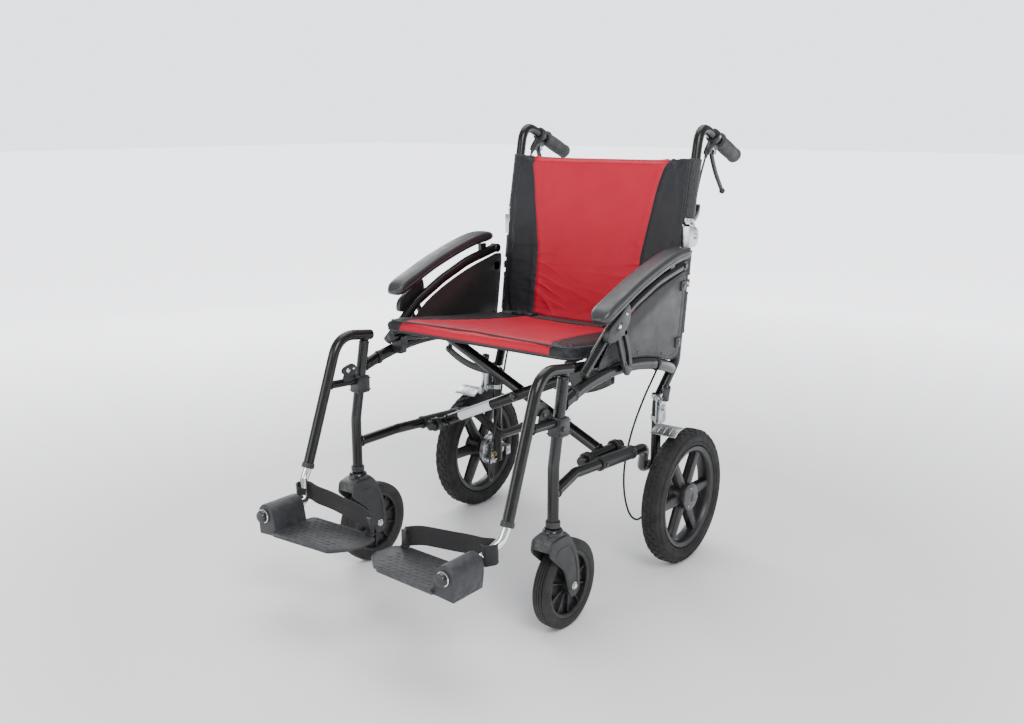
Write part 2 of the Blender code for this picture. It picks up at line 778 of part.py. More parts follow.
def make_upholstery():
    under = SEAT_RAIL_R + SEAT_CLEAR
    over = under + SEAT_THICK
    front, rear = -0.1620, 0.2420
    ring = [(front, seat_z(front, under)), (rear, seat_z(rear, under))]
    ring += [(rear, seat_z(rear, over)), (front, seat_z(front, over))]
    seat = bevelled(plate("seat", ring, -0.2430, 0.2430), 0.010)
    keep(seat, "seat_cushion", "brace_a", "red_nylon")

    ring = [
        (0.2480, 0.5050),
        (0.2720, 0.7000),
        (0.2830, 0.7820),
        (0.3010, 0.8800),
        (0.3160, 0.8780),
        (0.3010, 0.7800),
        (0.2900, 0.6980),
        (0.2680, 0.5050),
    ]
    back = plate("back", ring, -0.2320, 0.2320)
    sleeves, posts = [], []
    for _, sign in SIDES:
        for low, high in ((0.512, 0.594), (0.630, 0.684)):
            sleeves.append(rod("sleeve", on_post(sign, low), on_post(sign, high), TUBE_R + 0.0028))
        sleeves.append(rod("sleeve", on_handle(sign, 0.750), on_handle(sign, 0.877), TUBE_R + 0.0028))
        posts.append(tube("post_gap", rear_post_path(sign), TUBE_R + GAP, [0.05, 0.05]))
        posts.append(tube("handle_gap", handle_path(sign), TUBE_R + GAP, 0.045, 12, 6))
    back = cut(unite(back, *sleeves), *posts, *clip_gaps())
    keep(back, "back_upholstery", "side_right", "red_nylon")

    line = [(-0.2160, 0.2260), (-0.1200, 0.2180), (0.0, 0.2120), (0.1200, 0.2080), (0.2160, 0.2200)]
    path = [(x, y, seat_z(y, over + 0.0050)) for x, y in line]
    belt = oval_tube("belt", rounded(path, 0.1, 3), 0.0150, 0.0012, 8)
    keep(belt, "lap_belt", "side_right", "black_webbing")


# ---- back posts, handles and brakes ----


def make_handle(side, sign):
    owner = "back_" + side
    handle = tube("handle", handle_path(sign), TUBE_R, 0.045, 12, 6)
    low, high = span(sign, BACK_X - 0.0085, BACK_X + 0.0085)
    tongue = [
        (0.2890, 0.7400),
        (0.2890, 0.7450),
        (0.3120, 0.7450),
        (0.3220, 0.7190),
        (0.3220, 0.7060),
        (0.3140, 0.7010),
        (0.3050, 0.7040),
        (0.3020, 0.7160),
    ]
    handle = unite(handle, plate("tongue", tongue, low, high))
    hole = rod("hole", at(sign, 0.20, HINGE_Y, HINGE_Z), at(sign, 0.28, HINGE_Y, HINGE_Z), 0.0043, 8)
    keep(cut(handle, hole), "push_handle_" + side, owner, "frame_paint")

    start, end = Vector(at(sign, 0.237, 0.4275, 0.9151)), Vector(at(sign, 0.237, 0.5165, 0.8783))
    grip = rod("grip", start, end, 0.0155, 16, 0.0165)
    keep(grip, "grip_" + side, owner, "grip_rubber")

    ring_at, along = Vector(at(sign, 0.237, 0.4060, 0.9240)), (end - start).normalized()
    ring = rod("ring", ring_at - along * 0.006, ring_at + along * 0.006, 0.0165, 12)
    low, high = span(sign, 0.2310, 0.2430)
    shape = [
        (0.3960, 0.9150),
        (0.4140, 0.9100),
        (0.4160, 0.8960),
        (0.4060, 0.8960),
        (0.3930, 0.9010),
        (0.3800, 0.8850),
        (0.3720, 0.8890),
        (0.3820, 0.9040),
    ]
    perch = unite(ring, plate("perch", shape, low, high))
    bore = rod("bore", ring_at - along * 0.05, ring_at + along * 0.05, TUBE_R + GAP, 12)
    keep(cut(perch, bore), "brake_perch_" + side, owner, "black_plastic")

    low, high = span(sign, 0.2335, 0.2405)
    blade = [
        (0.3960, 0.8960),
        (0.4060, 0.8945),
        (0.4090, 0.8800),
        (0.4300, 0.8450),
        (0.4640, 0.8060),
        (0.4600, 0.7980),
        (0.4520, 0.8010),
        (0.4180, 0.8420),
        (0.3990, 0.8760),
        (0.3930, 0.8880),
    ]
    lever = plate("blade", blade, low, high)
    knob = rod("ball", at(sign, 0.2320, 0.4600, 0.8020), at(sign, 0.2420, 0.4600, 0.8020), 0.0062, 8)
    keep(unite(lever, knob), "brake_lever_" + side, "brake_lever_" + side, "black_plastic")


def cable_points(sign):
    """The brake cable hangs in a long bow from the handle post to the drum."""
    return [
        at(sign, 0.2370, 0.3700, 0.8780),
        at(sign, 0.2350, 0.3560, 0.8420),
        at(sign, 0.2300, 0.3420, 0.7800),
        at(sign, 0.2190, 0.3320, 0.7000),
        at(sign, 0.2120, 0.3180, 0.6000),
        at(sign, 0.2100, 0.2900, 0.5000),
        at(sign, 0.2080, 0.2450, 0.4300),
        at(sign, 0.1960, 0.2050, 0.3600),
        at(sign, 0.1860, 0.1750, 0.2900),
        at(sign, 0.1850, 0.1500, 0.2200),
        at(sign, 0.1900, 0.1420, 0.1600),
        at(sign, 0.1990, 0.1500, 0.1100),
        at(sign, 0.2080, 0.1680, 0.0900),
        at(sign, 0.2160, 0.1860, 0.0980),
        at(sign, 0.2190, 0.1905, 0.1180),
        at(sign, 0.2195, 0.1905, 0.1322),
    ]


def make_cable(side, sign):
    guides = [Vector(p) for p in cable_points(sign)]
    path = []
    for i in range(len(guides) - 1):
        before = guides[max(i - 1, 0)]
        after = guides[min(i + 2, len(guides) - 1)]
        first, last = guides[i], guides[i + 1]
        for step in range(3):
            t = step / 3
            path.append(smooth_point(before, first, last, after, t))
    path.append(guides[-1])
    cable = curve_object("cable", path, 0.0022, 8)
    keep(cable, "brake_cable_" + side, "side_" + side, "cable_sheath")


def smooth_point(before, first, last, after, t):
    """A Catmull-Rom point between first and last."""
    return 0.5 * (
        2 * first
        + (last - before) * t
        + (2 * before - 5 * first + 4 * last - after) * t * t
        + (3 * first - before - 3 * last + after) * t**3
    )


def make_parking_brake(side, sign):
    _, py, pz = PARK_PIVOT
    bands = []
    for z in (0.3150, 0.3640):
        low, high = span(sign, REAR_POST_X - 0.0130, REAR_POST_X + 0.0130)
        y = REAR_POST_Y
        bands.append(box("band", (low, y - 0.0130, z), (high, y + 0.0130, z + 0.010)))
    low, high = span(sign, REAR_POST_X + 0.0100, REAR_POST_X + 0.0160)
    side_plate = box("side_plate", (low, 0.1850, 0.3100), (high, 0.2280, 0.3780))
    pin = rod("pin", at(sign, 0.238, py, pz), at(sign, 0.256, py, pz), 0.0035, 8)
    bracket = unite(side_plate, *bands, pin)
    bracket = cut(bracket, tube("gap", rear_post_path(sign), TUBE_R + GAP, [0.05, 0.05]))
    keep(bracket, "parking_brake_bracket_" + side, "side_" + side, "zinc")

    low, high = span(sign, 0.2450, 0.2490)
    arm = [
        (py - 0.009, pz - 0.006),
        (py - 0.008, pz + 0.008),
        (py + 0.001, pz + 0.024),
        (py + 0.011, pz + 0.020),
        (py + 0.008, pz - 0.006),
        (py - 0.010, pz - 0.040),
        (py - 0.022, pz - 0.046),
        (py - 0.026, pz - 0.034),
    ]
    lever = plate("arm", arm, low, high)
    low, high = span(sign, 0.2460, 0.3060)
    shoe = [
        (py - 0.046, pz - 0.0440),
        (py - 0.028, pz - 0.0350),
        (py - 0.010, pz - 0.0330),
        (py - 0.010, pz - 0.0355),
        (py - 0.028, pz - 0.0380),
        (py - 0.045, pz - 0.0470),
    ]
    low_end = at(sign, 0.2520, py + 0.004, pz + 0.016)
    high_end = at(sign, 0.2520, py + 0.010, pz + 0.050)
    knob = rod("knob", low_end, high_end, 0.0080, 10, 0.0095)
    lever = unite(lever, plate("shoe", shoe, low, high), knob)
    lever = cut(lever, rod("hole", at(sign, 0.2, py, pz), at(sign, 0.3, py, pz), 0.0040, 8))
    keep(lever, "parking_brake_lever_" + side, "parking_brake_" + side, "zinc")


# ---- armrests ----


def make_armrest(side, sign):
    owner = "armrest_" + side
    bar = oval_tube("bar", armrest_path(sign), 0.0095, 0.0110)
    boss = rod("boss", at(sign, 0.2440, *ARM_PIVOT[1:]), at(sign, 0.2650, *ARM_PIVOT[1:]), 0.0105, 12)
    standoff = box("standoff", *[at(1, *p) for p in standoff_box(sign)])
    keep(unite(bar, boss, standoff), "armrest_tube_" + side, owner, "frame_paint")

    top = [(-0.1020, 0.6010), (-0.0800, 0.6150), (-0.0300, 0.6350), (0.0200, 0.6550)]
    top += [(0.0700, 0.6710), (0.1200, 0.6850), (0.1760, 0.6970), (0.2150, 0.6985), (0.2380, 0.6940)]
    under = [(0.2490, 0.6850), (0.2400, 0.6770), (0.2000, 0.6745), (0.1500, 0.6660), (0.0900, 0.6500)]
    under += [(0.0200, 0.6270), (-0.0400, 0.6030), (-0.0850, 0.5840), (-0.1060, 0.5860)]
    low, high = span(sign, 0.2440, 0.2900)
    pad = plate("pad", top + under, low, high)
    keep(pad, "armrest_pad_" + side, owner, "pad_foam")

    low, high = span(sign, 0.2655, 0.2790)
    body_shape = [
        (-0.0780, 0.5460),
        (-0.0700, 0.5720),
        (-0.0400, 0.5900),
        (-0.0060, 0.6130),
        (0.0020, 0.5960),
        (-0.0020, 0.5720),
        (-0.0260, 0.5520),
        (-0.0520, 0.5430),
    ]
    leg_shape = [
        (-0.0480, 0.5600),
        (-0.0120, 0.5600),
        (0.0080, 0.4960),
        (0.0120, 0.4780),
        (0.0060, 0.4680),
        (-0.0040, 0.4680),
        (-0.0180, 0.4900),
    ]
    slot_shape = [(-0.0240, 0.5520), (-0.0200, 0.5520), (0.0060, 0.4800), (0.0020, 0.4780)]
    latch = plate("latch", body_shape, low, high)
    leg_low, leg_high = span(sign, 0.2700, 0.2780)
    latch = unite(latch, plate("leg", leg_shape, leg_low, leg_high))
    slot_low, slot_high = span(sign, 0.26, 0.29)
    latch = cut(latch, plate("slot", slot_shape, slot_low, slot_high))
    keep(latch, "armrest_latch_" + side, owner, "black_plastic")


def standoff_box(sign):
    low, high = span(sign, 0.2490, 0.2620)
    return (low, 0.1900, 0.6400), (high, 0.2060, 0.6715)


# ---- footrests ----


def make_hanger(side, sign):
    owner = "hanger_" + side
    pipe = tube("pipe", hanger_path(sign), TUBE_R, 0.062, 12, 6)
    arm = rod("arm", at(sign, 0.2595, -0.3100, 0.4240), at(sign, 0.2593, -0.2180, 0.4180), 0.0085, 12)
    low, high = span(sign, 0.2440, 0.2750)
    block = box("block", (low, -0.2310, 0.3900), (high, -0.1985, 0.4280), 0.004)
    socket = tube("socket", post_path(sign), TUBE_R + 0.0006, 0.10)
    keep(cut(unite(pipe, arm, block), socket), "hanger_" + side, owner, "frame_paint")

    low, high = span(sign, 0.2440, 0.2530)
    shape = [(-0.2760, 0.4470), (-0.2740, 0.4560), (-0.2500, 0.4620), (-0.2380, 0.4520)]
    shape += [(-0.2380, 0.4440), (-0.2580, 0.4360)]
    catch = plate("catch", shape, low, high)
    keep(catch, "hanger_catch_" + side, "hanger_catch_" + side, "black_plastic")

    owner = "footrest_" + side
    path = [
        at(sign, POST_X, -0.3720, 0.2605),
        at(sign, POST_X - 0.001, -0.3840, 0.2400),
        at(sign, FOOT_AXIS_X, -0.4080, FOOT_AXIS_Z),
        at(sign, FOOT_AXIS_X, -0.4255, FOOT_AXIS_Z),
    ]
    slim = tube("slim", path, 0.0092, [0.02, 0.015], 12, 3)
    keep(slim, "footrest_tube_" + side, owner, "polished_tube")

    pivot = rod(
        "pivot", at(sign, FOOT_AXIS_X, -0.4263, FOOT_AXIS_Z), at(sign, FOOT_AXIS_X, -0.5120, FOOT_AXIS_Z), 0.0080
    )
    knob = rod(
        "knob", at(sign, FOOT_AXIS_X, -0.5095, FOOT_AXIS_Z), at(sign, FOOT_AXIS_X, -0.5228, FOOT_AXIS_Z), 0.0130
    )
    owner = "footplate_pivot_" + side
    keep(unite(pivot, knob), "footplate_pivot_" + side, owner, "polished_tube")
    make_footplate(side, sign)


def make_footplate(side, sign):
    owner = "footplate_" + side
    outline = [
        (0.2060, -0.5150),
        (0.0600, -0.5060),
        (0.0250, -0.4760),
        (0.0175, -0.4560),
        (0.0250, -0.4140),
        (0.0560, -0.4020),
        (0.2060, -0.4080),
    ]
    ring = [(sign * x, y, PLATE_TOP - TIP_T) for x, y in outline]
    tip = slab("tip", ring, (0, 0, TIP_T))
    ring = [(sign * max(x, 0.036), y, PLATE_TOP - PLATE_T) for x, y in outline]
    sole = slab("sole", ring, (0, 0, PLATE_T - 0.0005))
    block_shape = [
        (0.2040, PLATE_TOP - PLATE_T),
        (0.2500, PLATE_TOP - PLATE_T - 0.004),
        (0.2530, 0.2080),
        (0.2460, 0.2240),
        (0.2315, 0.2300),
        (0.2160, 0.2240),
        (0.2080, 0.2060),
    ]
    block = slab("block", [(sign * x, -0.5085, z) for x, z in block_shape], (0, 0.0815, 0))
    post = box("post", *[at(1, *p) for p in strap_post(sign)])
    bore = rod(
        "bore", at(sign, FOOT_AXIS_X, -0.60, FOOT_AXIS_Z), at(sign, FOOT_AXIS_X, -0.40, FOOT_AXIS_Z), 0.0084, 12
    )
    plate_made = cut(unite(tip, sole, block, post), bore)
    keep(plate_made, "footplate_" + side, owner, "plate_plastic")

    path = [
        at(sign, 0.0500, -0.3990, 0.2020),
        at(sign, 0.0900, -0.3920, 0.2080),
        at(sign, 0.1700, -0.3820, 0.2120),
        at(sign, 0.2300, -0.3740, 0.2160),
        at(sign, 0.2740, -0.3700, 0.2260),
    ]
    strap = oval_tube("strap", rounded(path, 0.06, 2), 0.0013, 0.0200, 8)
    keep(strap, "heel_strap_" + side, "footrest_" + side, "black_webbing")


def strap_post(sign):
    low, high = span(sign, 0.0400, 0.0520)
    return (low, -0.4120, PLATE_TOP - 0.002), (high, -0.4020, 0.2160)


start_scene()
make_bodies()
for side_name, side_sign in SIDES:
    make_side_frame(side_name, side_sign)
    make_side_panel(side_name, side_sign)
    make_hub_brake(side_name, side_sign)
    make_rear_wheel(side_name, side_sign)
    make_castor(side_name, side_sign)
    make_fold_link(side_name, side_sign)
    make_handle(side_name, side_sign)
    make_cable(side_name, side_sign)
    make_parking_brake(side_name, side_sign)
    make_armrest(side_name, side_sign)
    make_hanger(side_name, side_sign)
make_braces()
make_upholstery()
for piece in parts.objects:
    if piece.type == "MESH":
        piece.data.shade_smooth()
        piece.data.set_sharp_from_angle(angle=math.radians(35))
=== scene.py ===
"""Looks of the folding transit wheelchair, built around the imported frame.

The chair faces -Y, the user's left is +X. Every piece is made where it stands, in metres.
"""

import math

import bmesh
import bpy
import numpy as np
from mathutils import Matrix, Vector, noise
from mathutils.bvhtree import BVHTree


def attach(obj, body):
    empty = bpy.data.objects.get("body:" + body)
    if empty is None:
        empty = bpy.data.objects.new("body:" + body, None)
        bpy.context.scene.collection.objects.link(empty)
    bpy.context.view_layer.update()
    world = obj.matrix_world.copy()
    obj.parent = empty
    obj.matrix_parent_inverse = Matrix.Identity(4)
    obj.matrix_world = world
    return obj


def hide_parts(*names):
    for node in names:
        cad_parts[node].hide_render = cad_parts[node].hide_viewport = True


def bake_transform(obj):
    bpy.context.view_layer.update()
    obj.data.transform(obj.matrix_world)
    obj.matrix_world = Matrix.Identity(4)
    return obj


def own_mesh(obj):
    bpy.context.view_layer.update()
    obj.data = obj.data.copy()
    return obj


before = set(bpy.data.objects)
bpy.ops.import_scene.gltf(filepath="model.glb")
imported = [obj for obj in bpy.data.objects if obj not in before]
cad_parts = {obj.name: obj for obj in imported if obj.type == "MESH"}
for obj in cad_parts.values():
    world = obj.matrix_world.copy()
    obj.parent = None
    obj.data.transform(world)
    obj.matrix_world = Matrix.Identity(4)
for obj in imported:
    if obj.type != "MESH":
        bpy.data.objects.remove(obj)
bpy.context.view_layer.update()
SIDES = (("left", 1), ("right", -1))

# ---------------------------------------------------------------- materials


class Nodes:
    """A material's node tree, with short calls for the nodes used here."""

    def __init__(self, name, colour, roughness, metallic=0.0, **sockets):
        self.material = bpy.data.materials.new(name)
        self.material.use_nodes = True
        self.tree = self.material.node_tree
        self.shader = self.tree.nodes["Principled BSDF"]
        self.set("Base Color", (*colour, 1))
        self.set("Roughness", roughness)
        self.set("Metallic", metallic)
        for socket, value in sockets.items():
            self.set(socket.replace("_", " "), value)
        self.place = self.tree.nodes.new("ShaderNodeTexCoord").outputs["Object"]

    def set(self, socket, value):
        self.shader.inputs[socket].default_value = value

    def link(self, output, socket):
        self.tree.links.new(output, self.shader.inputs[socket])

    def add(self, kind, inputs=(), **settings):
        node = self.tree.nodes.new("ShaderNode" + kind)
        for key, value in settings.items():
            setattr(node, key, value)
        for key, value in dict(inputs).items():
            if hasattr(value, "is_linked"):
                self.tree.links.new(value, node.inputs[key])
            else:
                node.inputs[key].default_value = value
        return node.outputs[0]

    def stretched(self, scale):
        return self.add("Mapping", {"Vector": self.place, "Scale": scale})

    def noise(self, scale, detail=3.0, place=None):
        source = self.place if place is None else place
        return self.add("TexNoise", {"Vector": source, "Scale": scale, "Detail": detail})

    def cells(self, scale, **settings):
        return self.add("TexVoronoi", {"Vector": self.place, "Scale": scale}, **settings)

    def waves(self, scale, axis):
        return self.add("TexWave", {"Vector": self.place, "Scale": scale}, bands_direction=axis)

    def math(self, operation, first, second=0.0):
        return self.add("Math", {0: first, 1: second}, operation=operation)

    def ramp(self, value, low, high, to_low=0.0, to_high=1.0):
        inputs = {0: value, 1: low, 2: high, 3: to_low, 4: to_high}
        return self.add("MapRange", inputs)

    def colours(self, factor, first, second):
        node = self.tree.nodes.new("ShaderNodeMix")
        node.data_type = "RGBA"
        self.tree.links.new(factor, node.inputs["Factor"])
        for socket, value in ((6, first), (7, second)):
            if hasattr(value, "is_linked"):
                self.tree.links.new(value, node.inputs[socket])
            else:
                node.inputs[socket].default_value = (*value, 1)
        return node.outputs[2]

    def bump(self, height, strength, distance, normal=None):
        inputs = {"Height": height, "Strength": strength, "Distance": distance}
        if normal is not None:
            inputs["Normal"] = normal
        return self.add("Bump", inputs)

    def attribute(self, name):
        node = self.tree.nodes.new("ShaderNodeAttribute")
        node.attribute_name = name
        return node.outputs["Fac"]

    def worn_edges(self, low=0.53, high=0.62):
        """1 on sharp outer edges, broken up by noise."""
        point = self.tree.nodes.new("ShaderNodeNewGeometry").outputs["Pointiness"]
        return self.math("MULTIPLY", self.ramp(point, low, high), self.ramp(self.noise(90.0), 0.42, 0.62))


def paint_material():
    n = Nodes("frame_paint", (0.006, 0.006, 0.006), 0.24, Specular_IOR_Level=0.42)
    patches = n.noise(14.0)
    n.link(n.colours(patches, (0.0045, 0.0045, 0.0042), (0.008, 0.008, 0.0075)), "Base Color")
    n.link(n.ramp(n.noise(60.0), 0.3, 0.7, 0.2, 0.29), "Roughness")
    n.link(n.bump(n.noise(850.0, 2.0), 0.1, 0.0004), "Normal")
    return n.material


def plastic_material(name, dark, light, roughness, grain=1300.0, strength=0.16, **sockets):
    n = Nodes(name, dark, roughness, **sockets)
    mottled = n.colours(n.noise(30.0), dark, light)
    edge = tuple(min(1.0, c * 1.9 + 0.012) for c in light)
    n.link(n.colours(n.worn_edges(), mottled, edge), "Base Color")
    n.link(n.ramp(n.noise(45.0), 0.3, 0.7, roughness - 0.05, roughness + 0.07), "Roughness")
    n.link(n.bump(n.cells(grain), strength, 0.0003), "Normal")
    return n.material


def pad_material():
    n = Nodes("pad_foam", (0.02, 0.021, 0.023), 0.38, Coat_Weight=0.12, Coat_Roughness=0.3)
    n.link(n.colours(n.noise(24.0), (0.016, 0.017, 0.018), (0.026, 0.027, 0.029)), "Base Color")
    n.link(n.ramp(n.noise(38.0), 0.3, 0.7, 0.34, 0.5), "Roughness")
    creases = n.bump(n.cells(620.0, feature="DISTANCE_TO_EDGE"), 0.1, 0.0004)
    n.link(n.bump(n.noise(160.0), 0.08, 0.0008, creases), "Normal")
    return n.material


def metal_material(name, low, high, roughness, lines=0.12):
    n = Nodes(name, low, roughness, 1.0)
    n.link(n.colours(n.noise(55.0), low, high), "Base Color")
    n.link(n.ramp(n.noise(120.0), 0.3, 0.7, roughness - 0.06, roughness + 0.12), "Roughness")
    drawn = n.noise(240.0, 3.0, n.stretched((1.0, 6.0, 6.0)))
    n.link(n.bump(drawn, lines, 0.0003), "Normal")
    return n.material


def rubber_material(name, dark, light, roughness):
    n = Nodes(name, dark, roughness, Specular_IOR_Level=0.35)
    dust = n.ramp(n.noise(26.0, 6.0), 0.42, 0.68)
    n.link(n.colours(dust, dark, light), "Base Color")
    n.link(n.ramp(n.noise(70.0), 0.3, 0.7, roughness - 0.08, roughness + 0.08), "Roughness")
    n.link(n.bump(n.noise(900.0, 4.0), 0.18, 0.0004), "Normal")
    return n.material


def weave(n, pitch=2600.0, strength=0.2):
    """Crossed threads; the height of a plain woven cloth."""
    across = n.waves(pitch, "X")
    along = n.waves(pitch, "Y")
    upright = n.waves(pitch, "Z")
    threads = n.math("ADD", n.math("MAXIMUM", across, along), upright)
    soft = n.bump(n.noise(75.0, 5.0), 0.16, 0.0022)
    return n.bump(threads, strength, 0.00015, soft)


def nylon_material():
    """Red nylon where the piece's zone is above 0, charcoal elsewhere."""
    n = Nodes(
        "panel_nylon", (0.5, 0.02, 0.05), 0.55, Sheen_Weight=0.02, Sheen_Roughness=0.4,
        Specular_IOR_Level=0.3,
    )
    n.set("Sheen Tint", (1.0, 0.75, 0.78, 1))
    red = n.colours(n.noise(18.0, 5.0), (0.37, 0.002, 0.018), (0.45, 0.0035, 0.024))
    grey = n.colours(n.noise(20.0, 5.0), (0.01, 0.0105, 0.0125), (0.016, 0.0165, 0.019))
    inside = n.math("GREATER_THAN", n.attribute("zone"), 0.0)
    n.link(n.colours(inside, grey, red), "Base Color")
    n.link(n.ramp(n.noise(30.0), 0.3, 0.7, 0.48, 0.6), "Roughness")
    n.link(weave(n), "Normal")
    return n.material


def cloth_material(name, dark, light, roughness=0.65):
    n = Nodes(name, dark, roughness, Sheen_Weight=0.2, Sheen_Roughness=0.4)
    n.link(n.colours(n.noise(40.0, 4.0), dark, light), "Base Color")
    n.link(weave(n, 2000.0, 0.3), "Normal")
    return n.material


def webbing_material():
    n = Nodes("black_webbing", (0.02, 0.02, 0.022), 0.75, Sheen_Weight=0.08, Sheen_Roughness=0.45)
    ribs = n.math("MAXIMUM", n.waves(420.0, "Z"), n.waves(420.0, "X"))
    n.link(n.colours(ribs, (0.005, 0.005, 0.0055), (0.014, 0.014, 0.015)), "Base Color")
    fine = n.bump(n.noise(1500.0), 0.3, 0.0003)
    n.link(n.bump(ribs, 0.5, 0.0007, fine), "Normal")
    return n.material


def spacer_material():
    """The knitted spacer mesh of the sleeves: small dark holes in a lighter net."""
    n = Nodes("spacer_mesh", (0.02, 0.02, 0.02), 0.75, Sheen_Weight=0.2, Sheen_Roughness=0.5)
    holes = n.ramp(n.cells(330.0), 0.2, 0.42)
    n.link(n.colours(holes, (0.0015, 0.0015, 0.0015), (0.024, 0.0245, 0.026)), "Base Color")
    n.link(n.bump(holes, 0.8, 0.0009), "Normal")
    return n.material


def label_material():
    n = Nodes("blank_label", (0.75, 0.76, 0.77), 0.3, Coat_Weight=0.3, Coat_Roughness=0.15)
    n.link(n.colours(n.noise(30.0), (0.7, 0.71, 0.73), (0.8, 0.81, 0.82)), "Base Color")
    n.link(n.bump(n.noise(300.0), 0.05, 0.0003), "Normal")
    return n.material


MATERIALS = {
    "paint": paint_material(),
    "plastic": plastic_material("black_plastic", (0.009, 0.0095, 0.01), (0.015, 0.0155, 0.0165), 0.4),
    "fork": plastic_material("fork_plastic", (0.02, 0.021, 0.021), (0.03, 0.031, 0.031), 0.5),
    "gloss": plastic_material(
        "gloss_plastic", (0.011, 0.011, 0.012), (0.018, 0.018, 0.019), 0.2, 400.0, 0.03,
    ),
    "plate": plastic_material("plate_plastic", (0.017, 0.0185, 0.0205), (0.026, 0.028, 0.031), 0.52),
    "panel": plastic_material(
        "panel_plastic", (0.014, 0.015, 0.0145), (0.021, 0.022, 0.021), 0.46, 900.0, 0.4,
    ),
    "hub": plastic_material("hub_plastic", (0.007, 0.007, 0.0075), (0.012, 0.012, 0.013), 0.36),
    "cap": plastic_material("cap_plastic", (0.06, 0.062, 0.065), (0.085, 0.088, 0.092), 0.45),
    "white": plastic_material("white_plastic", (0.62, 0.63, 0.64), (0.72, 0.73, 0.74), 0.35),
    "pad": pad_material(),
    "zinc": metal_material("zinc", (0.42, 0.45, 0.48), (0.6, 0.61, 0.6), 0.3),
    "chrome": metal_material("polished_tube", (0.8, 0.81, 0.82), (0.9, 0.9, 0.9), 0.13, 0.05),
    "brass": metal_material("spring_brass", (0.62, 0.42, 0.14), (0.74, 0.55, 0.24), 0.28),
    "tyre": rubber_material("tyre_rubber", (0.013, 0.013, 0.013), (0.026, 0.0255, 0.0245), 0.72),
    "castor": rubber_material("castor_rubber", (0.016, 0.016, 0.016), (0.03, 0.0295, 0.028), 0.62),
    "grip": rubber_material("grip_rubber", (0.045, 0.046, 0.048), (0.075, 0.076, 0.078), 0.6),
    "nylon": nylon_material(),
    "charcoal": cloth_material("charcoal_nylon", (0.018, 0.019, 0.022), (0.028, 0.029, 0.033)),
    "webbing": webbing_material(),
    "spacer": spacer_material(),
    "sheath": plastic_material("cable_sheath", (0.008, 0.008, 0.009), (0.014, 0.014, 0.015), 0.4, 700.0, 0.1),
    "label": label_material(),
}

# ---------------------------------------------------------------- shapes


def at(sign, x, y, z):
    return Vector((sign * x, y, z))


def ring(radius, sides, height=None):
    """A round or oval section as (across, up) pairs."""
    tall = radius if height is None else height
    steps = (2 * math.pi * i / sides for i in range(sides))
    return [(radius * math.cos(a), tall * math.sin(a)) for a in steps]


def rounded(points, bend, steps=8):
    """The polyline with each inner corner turned into an arc of about that bend radius."""
    points = [Vector(p) for p in points]
    bends = bend if isinstance(bend, (list, tuple)) else [bend] * (len(points) - 2)
    path = [points[0]]
    for before, corner, after, radius in zip(points, points[1:], points[2:], bends):
        arrive, leave = (corner - before).normalized(), (after - corner).normalized()
        turn = arrive.angle(leave)
        if turn < 0.02 or radius == 0:
            path.append(corner)
            continue
        reach = radius * math.tan(turn / 2)
        reach = min(reach, 0.48 * (corner - before).length, 0.48 * (after - corner).length)
        first, last = corner - arrive * reach, corner + leave * reach
        for i in range(steps + 1):
            t = i / steps
            path.append(first * (1 - t) ** 2 + corner * (2 * t * (1 - t)) + last * t**2)
    path.append(points[-1])
    return path


def smooth_path(points, steps=6, closed=False):
    """A Catmull-Rom line through the points."""
    points = [Vector(p) for p in points]
    count = len(points)
    path = []
    for i in range(count if closed else count - 1):
        if closed:
            before, first, last, after = (points[(i + k) % count] for k in (-1, 0, 1, 2))
        else:
            before, first = points[max(i - 1, 0)], points[i]
            last, after = points[i + 1], points[min(i + 2, count - 1)]
        for step in range(steps):
            t = step / steps
            path.append(
                0.5 * (2 * first + (last - before) * t)
                + 0.5 * (2 * before - 5 * first + 4 * last - after) * t * t
                + 0.5 * (3 * first - before - 3 * last + after) * t**3
            )
    if not closed:
        path.append(points[-1])
    return path


def length_of(path):
    return sum((b - a).length for a, b in zip(path, path[1:]))


def mirrored(half, middle=()):
    """The (radius, height) points, the middle ones, and the first ones again below the middle."""
    return [*half, *middle, *((r, -h) for r, h in half[::-1])]


WASHER = 0.0008  # thickness under each bolt head


